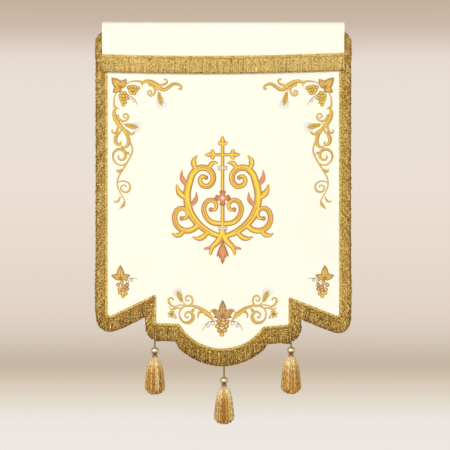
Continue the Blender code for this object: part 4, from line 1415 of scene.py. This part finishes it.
def woven_braid(name, inner, outer, face):
    """A stretch of braid between two lines, plaited in chevrons between two round selvedges."""
    stations, travelled = [], 0.0
    for (a, b), (c, d) in zip(zip(inner, inner[1:]), zip(outer, outer[1:])):
        span = ((b - a).length + (d - c).length) / 2
        steps = max(1, round(span / BRAID_STEP))
        for i in range(steps):
            t = i / steps
            stations.append((a.lerp(b, t), c.lerp(d, t), travelled + span * t))
        travelled += span
    stations.append((inner[-1], outer[-1], travelled))
    points, uvs = [], []
    for near, far, along in stations:
        for across, ground, rib in BRAID_ACROSS:
            spot = near.lerp(far, across)
            wave = abs(math.sin(math.pi * (along / BRAID_RIB_LENGTH + 1.1 * abs(across - 0.5))))
            points.append(face(spot.x, spot.y, ground * BRAID_LIFT + rib * wave * BRAID_RIB))
            uvs.append((across, along))
    count = len(BRAID_ACROSS)
    faces = [
        (r * count + i, r * count + i + 1, (r + 1) * count + i + 1, (r + 1) * count + i)
        for r in range(len(stations) - 1) for i in range(count - 1)
    ]
    return built_piece(name, points, faces, uvs)


def hung_locks(name, rays, face, paler=0.0, layers=LOCK_LAYERS, tucked=LOCK_ROOT):
    """Locks of bullion in layers, their roots tucked in. A ray is a root, a lean and a length."""
    paths, sizes, tones = [], [], []
    share = np.linspace(0, 1, LOCK_ROWS + 1)
    for near, far, half, darker in layers:
        for root, lean, length in rays:
            swung = lean + chance.normal(0, math.radians(2.0))
            cut = length + chance.normal(0, 0.0006)
            fall = Vector((math.sin(swung), -math.cos(swung)))
            shift = chance.uniform(-0.4, 0.4) * LOCK_PITCH
            bow = chance.normal(0, 0.0009)
            lift = near + chance.uniform(0, 0.0004)
            path = []
            for s in share:
                down = (cut + tucked) * s - tucked
                aside = shift * smooth(s * 2) + bow * math.sin(math.pi * s)
                spot = root + fall * down + Vector((-fall.y, fall.x)) * aside
                off = lift + (far - near) * smooth(down / (0.6 * cut)) + ROOT_DIVE * min(down, 0.0)
                path.append(face(spot.x, spot.y, off))
            paths.append(path)
            size = half * (0.72 + 0.28 * np.clip(share * 4, 0, 1)) * chance.uniform(0.88, 1.12)
            size[-1] *= 0.45
            sizes.append(size)
            tones.append(chance.normal(0.5, 0.16) - darker + paler)
    forwards = np.tile((0.0, -1.0, 0.0), (len(paths), 1))
    paths, sizes, tones = np.array(paths), np.array(sizes), np.array(tones)
    locks = lay_strands(name, bullion_strand, paths, forwards, sizes, tones)
    locks.data.materials.append(bullion)
    return locks


def sewn_on(name, braid, locks, node):
    """Joins a stretch of braid and its locks into one piece that stands for a node."""
    braid.data.materials.append(braid_weave)
    join_up([braid, locks])
    braid.name = name
    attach(braid, "root")
    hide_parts(node)
    return braid


# The braid's finish: flat gilt thread over a pale yellow core, lighter and yellower than the locks.
# The threads are 0.4 mm wide, so they are drawn at 2.2 mm. Its inner edge is painted paler and its edge by
# the locks darker: painted light and shade.
GILT_THREAD_MM = 2.2
braid_weave, tree, shader = new_material("woven_gilt_braid", {"Roughness": 0.45, "Metallic": 0.2})
coords = add_node(tree, "ShaderNodeTexCoord")
grain = add_node(
    tree, "ShaderNodeTexNoise", {"Scale": 1000 / GILT_THREAD_MM / 2, "Detail": 3.0},
    {"Vector": coords.outputs["Object"]},
)
parts = add_node(tree, "ShaderNodeSeparateXYZ", links={"Vector": coords.outputs["UV"]})
# Painted light and shade across the braid: paler on its inner edge, darker by the locks.
painted_edge_light = add_node(
    tree, "ShaderNodeMapRange", {"From Min": 0.35, "From Max": 1.0, "To Min": 0.04, "To Max": -0.06},
    {"Value": parts.outputs["X"]},
)
level = add_node(
    tree, "ShaderNodeMath", {"operation": "ADD"}, {0: grain.outputs["Fac"], 1: painted_edge_light.outputs["Result"]},
)
tone = add_node(tree, "ShaderNodeValToRGB", links={"Fac": level.outputs[0]})
set_ramp(tone, ((0.3, "#8A6622"), (0.44, "#B68E3A"), (0.56, "#D6B250"), (0.72, "#F6DE8A")))
bump = add_node(
    tree, "ShaderNodeBump", {"Strength": 0.4, "Distance": 0.0004}, {"Height": grain.outputs["Fac"]},
)
tree.links.new(tone.outputs["Color"], shader.inputs["Base Color"])
tree.links.new(bump.outputs["Normal"], shader.inputs["Normal"])

# The locks' finish: two-ply bullion, gilt thread wound tight over cotton and twisted back on itself.
# Its glints are painted as paler and darker flecks in its colour, painted highlights and shade. The
# windings are 0.3 mm apart, so they are drawn 3 mm apart, aslant, as bumps and as light and dark bands
# painted in the colour.
WINDING_MM = 3.0
TIP_SHADE = (0.038, 0.054, -0.10)  # the lock darkens between these lengths, by this much
bullion, tree, shader = new_material("twisted_gilt_bullion", {"Roughness": 0.36, "Metallic": 0.3})
lot = add_node(tree, "ShaderNodeAttribute", {"attribute_name": "tone"})
coords = add_node(tree, "ShaderNodeTexCoord")
parts = add_node(tree, "ShaderNodeSeparateXYZ", links={"Vector": coords.outputs["UV"]})
turned = add_node(
    tree, "ShaderNodeMath", {"operation": "MULTIPLY_ADD", 1: 1000 / WINDING_MM},
    {0: parts.outputs["Y"], 2: parts.outputs["X"]},
)
angle = add_node(
    tree, "ShaderNodeMath", {"operation": "MULTIPLY", 1: 2 * math.pi}, {0: turned.outputs[0]},
)
winding = add_node(tree, "ShaderNodeMath", {"operation": "SINE"}, {0: angle.outputs[0]})
# Painted glints: flecks of paler and darker colour.
painted_glints = add_node(
    tree, "ShaderNodeTexNoise", {"Scale": 270.0, "Detail": 2.0}, {"Vector": coords.outputs["Object"]},
)
sharper = add_node(
    tree, "ShaderNodeMath", {"operation": "MULTIPLY_ADD", 1: 1.5, 2: -0.25}, {0: painted_glints.outputs["Fac"]},
)
# The windings' light and dark bands are painted into the colour, painted light and shade.
mixed = add_node(
    tree, "ShaderNodeMath", {"operation": "MULTIPLY_ADD", 1: 0.13},
    {0: winding.outputs[0], 2: sharper.outputs[0]},
)
shade = add_node(
    tree, "ShaderNodeMapRange",
    {"From Min": TIP_SHADE[0], "From Max": TIP_SHADE[1], "To Min": 0.0, "To Max": TIP_SHADE[2]},
    {"Value": parts.outputs["Y"]},
)
shaded = add_node(
    tree, "ShaderNodeMath", {"operation": "ADD"}, {0: mixed.outputs[0], 1: shade.outputs["Result"]},
)
total = add_node(
    tree, "ShaderNodeMath", {"operation": "MULTIPLY_ADD", 1: 0.4},
    {0: lot.outputs["Fac"], 2: shaded.outputs[0]},
)
tone = add_node(tree, "ShaderNodeValToRGB", links={"Fac": total.outputs[0]})
set_ramp(tone, ((0.40, "#543606"), (0.58, "#926616"), (0.76, "#C4962E"), (1.0, "#FCE494")))
bump = add_node(
    tree, "ShaderNodeBump", {"Strength": 0.5, "Distance": 0.0003}, {"Height": winding.outputs[0]},
)
tree.links.new(tone.outputs["Color"], shader.inputs["Base Color"])
tree.links.new(bump.outputs["Normal"], shader.inputs["Normal"])

bullion_strand = strand_model(4, LOCK_ROWS, 0.6, LOCK_TURNS)
corner_spots = [Vector((x, z)) for x, z, _radius in SEW_LINE]
side_ends = [Vector((corner_spots[i].x, SIDE_FOOT_Z)) for i in (0, -1)]
named = [  # the ends and corners of the sewing line, from the left side to the right side
    corner_spots[0], side_ends[0], *corner_spots[1:-1], side_ends[1], corner_spots[-1],
]
split_line = [sew_line[0], side_ends[0], *sew_line[1:-1], side_ends[1], sew_line[-1]]
marks = [min(range(len(split_line)), key=lambda i: (split_line[i] - spot).length) for spot in named]
split_outer = offset_line(split_line, BRAID_WIDTH)
corners = [(length_to(split_outer, marks[i]), extra, reach) for i, extra, reach in CORNER_EXTRA]
for part, (first, last, parted, *leans) in FRINGES.items():
    span = slice(marks[first], marks[last] + 1)
    braid = woven_braid(f"braid_{part}", split_line[span], split_outer[span], face_of)
    start, end = length_to(split_outer, marks[first]), length_to(split_outer, marks[last])
    limits = [start, end]
    if parted:
        middle = cords[parted][1].x
        here = min(np.linspace(start, end, 400), key=lambda d: abs(place_on(split_outer, d).x - middle))
        limits[1:1] = [here - CORD_SLOT / 2, here + CORD_SLOT / 2]
    rays = []
    for run, low, high in zip(leans, limits[::2], limits[1::2]):
        spots = np.linspace(low, high, 200)
        turned = np.interp(np.linspace(0, len(run) - 1, 200), range(len(run)), run)
        fanned = np.diff(spots) + LEAN_FAN * LOCK_LENGTH * np.maximum(0, np.radians(np.diff(turned)))
        filled = np.concatenate([[0], np.cumsum(fanned)])
        count = round(filled[-1] / LOCK_PITCH)
        for i in range(count):
            place = np.interp(filled[-1] * (i + 0.5) / count, filled, spots)
            lean = np.interp(place, spots, turned)
            length = LOCK_LENGTH + sum(
                extra * max(0.0, 1 - abs(place - corner) / reach) for corner, extra, reach in corners
            )
            if part.endswith("side"):
                drop = SIDE_TOP_Z - place_on(split_outer, place).y
                reach = SIDE_REACH / math.sin(math.radians(abs(lean)))
                length = min(length, reach, TOP_LOCK[0] + TOP_LOCK[1] * drop)
            rays.append((place_on(split_outer, float(place)), math.radians(lean), float(length)))
    locks = hung_locks(f"locks_{part}", rays, face_of, PALER.get(part, 0))
    if parted:
        low, high = limits[1:3]
        cover = []
        for i in range(COVER_LOCKS):
            along = low - COVER_OVER + (high - low + 2 * COVER_OVER) * (i + 0.5) / COVER_LOCKS
            cover.append((place_on(split_outer, along), 0.0, COVER_LENGTH))
        covering = hung_locks(f"cover_{part}", cover, face_of, 0, [COVER], 0.0)
        join_up([locks, covering])
    sewn_on(f"bullion_{part}", braid, locks, f"fringe_{part}")

places = [HALF_WIDTH * (i / 60 - 1) for i in range(121)]
flap_inner = [Vector((x, flap_braid_z(x))) for x in places]
flap_outer = [point - Vector((0, BRAID_WIDTH)) for point in flap_inner]
braid = woven_braid("braid_flap", flap_inner, flap_outer, face_of_flap)
count = round(2 * HALF_WIDTH / LOCK_PITCH)
rays = []
for i in range(count):
    x = HALF_WIDTH * (2 * (i + 0.5) / count - 1)
    rays.append((Vector((x, flap_braid_z(x) - BRAID_WIDTH)), 0.0, LOCK_LENGTH))
locks = hung_locks("locks_flap", rays, face_of_flap, PALER["flap"])
sewn_on("bullion_flap", braid, locks, "fringe_flap")

# The sewing that shows on the back: a row of stitches all round, which holds the fringe's braid on,
# and a straight row across that closes the sleeve and holds the flap down. Cream cotton thread.
STITCH_PITCH = 0.0045
STITCH_LENGTH = 0.0032
STITCH_HALF = 0.00035
seams = [
    [point for point in offset_line(sew_line, BRAID_WIDTH / 2) if point.y < TAPER_Z - 0.02],
    [Vector((x, flap_braid_z(x) - BRAID_WIDTH / 2)) for x in places[4:-4]],
]
paths, tones = [], []
for seam in seams:
    whole = length_to(seam, len(seam) - 1)
    for i in range(round(whole / STITCH_PITCH) - 1):
        ends = [place_on(seam, i * STITCH_PITCH + extra) for extra in (0, STITCH_LENGTH)]
        path = []
        for share in np.linspace(0, 1, 5):
            x, z = ends[0].lerp(ends[1], share)
            rise = STITCH_HALF * (2.2 * math.sin(math.pi * share) ** 0.5 - 1)
            path.append((x, cloth_y(x, z) + CLOTH_THICK / 2 + rise, z))
        paths.append(path)
        tones.append(chance.uniform(0.3, 0.7))
cotton, tree, shader = new_material("cream_cotton_thread", {"Roughness": 0.6})
lot = add_node(tree, "ShaderNodeAttribute", {"attribute_name": "tone"})
tone = add_node(tree, "ShaderNodeValToRGB", links={"Fac": lot.outputs["Fac"]})
set_ramp(tone, ((0.0, "#D9CDA4"), (1.0, "#EFE6C6")))
tree.links.new(tone.outputs["Color"], shader.inputs["Base Color"])
stitches = lay_strands(
    "back_stitches", strand_model(6, 4, 1.0, 0), np.array(paths), np.tile((0.0, 1.0, 0.0), (len(paths), 1)),
    np.full((len(paths), 5), STITCH_HALF), np.array(tones),
)
stitches.data.materials.append(cotton)
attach(stitches, "root")
sewn.append(stitches)
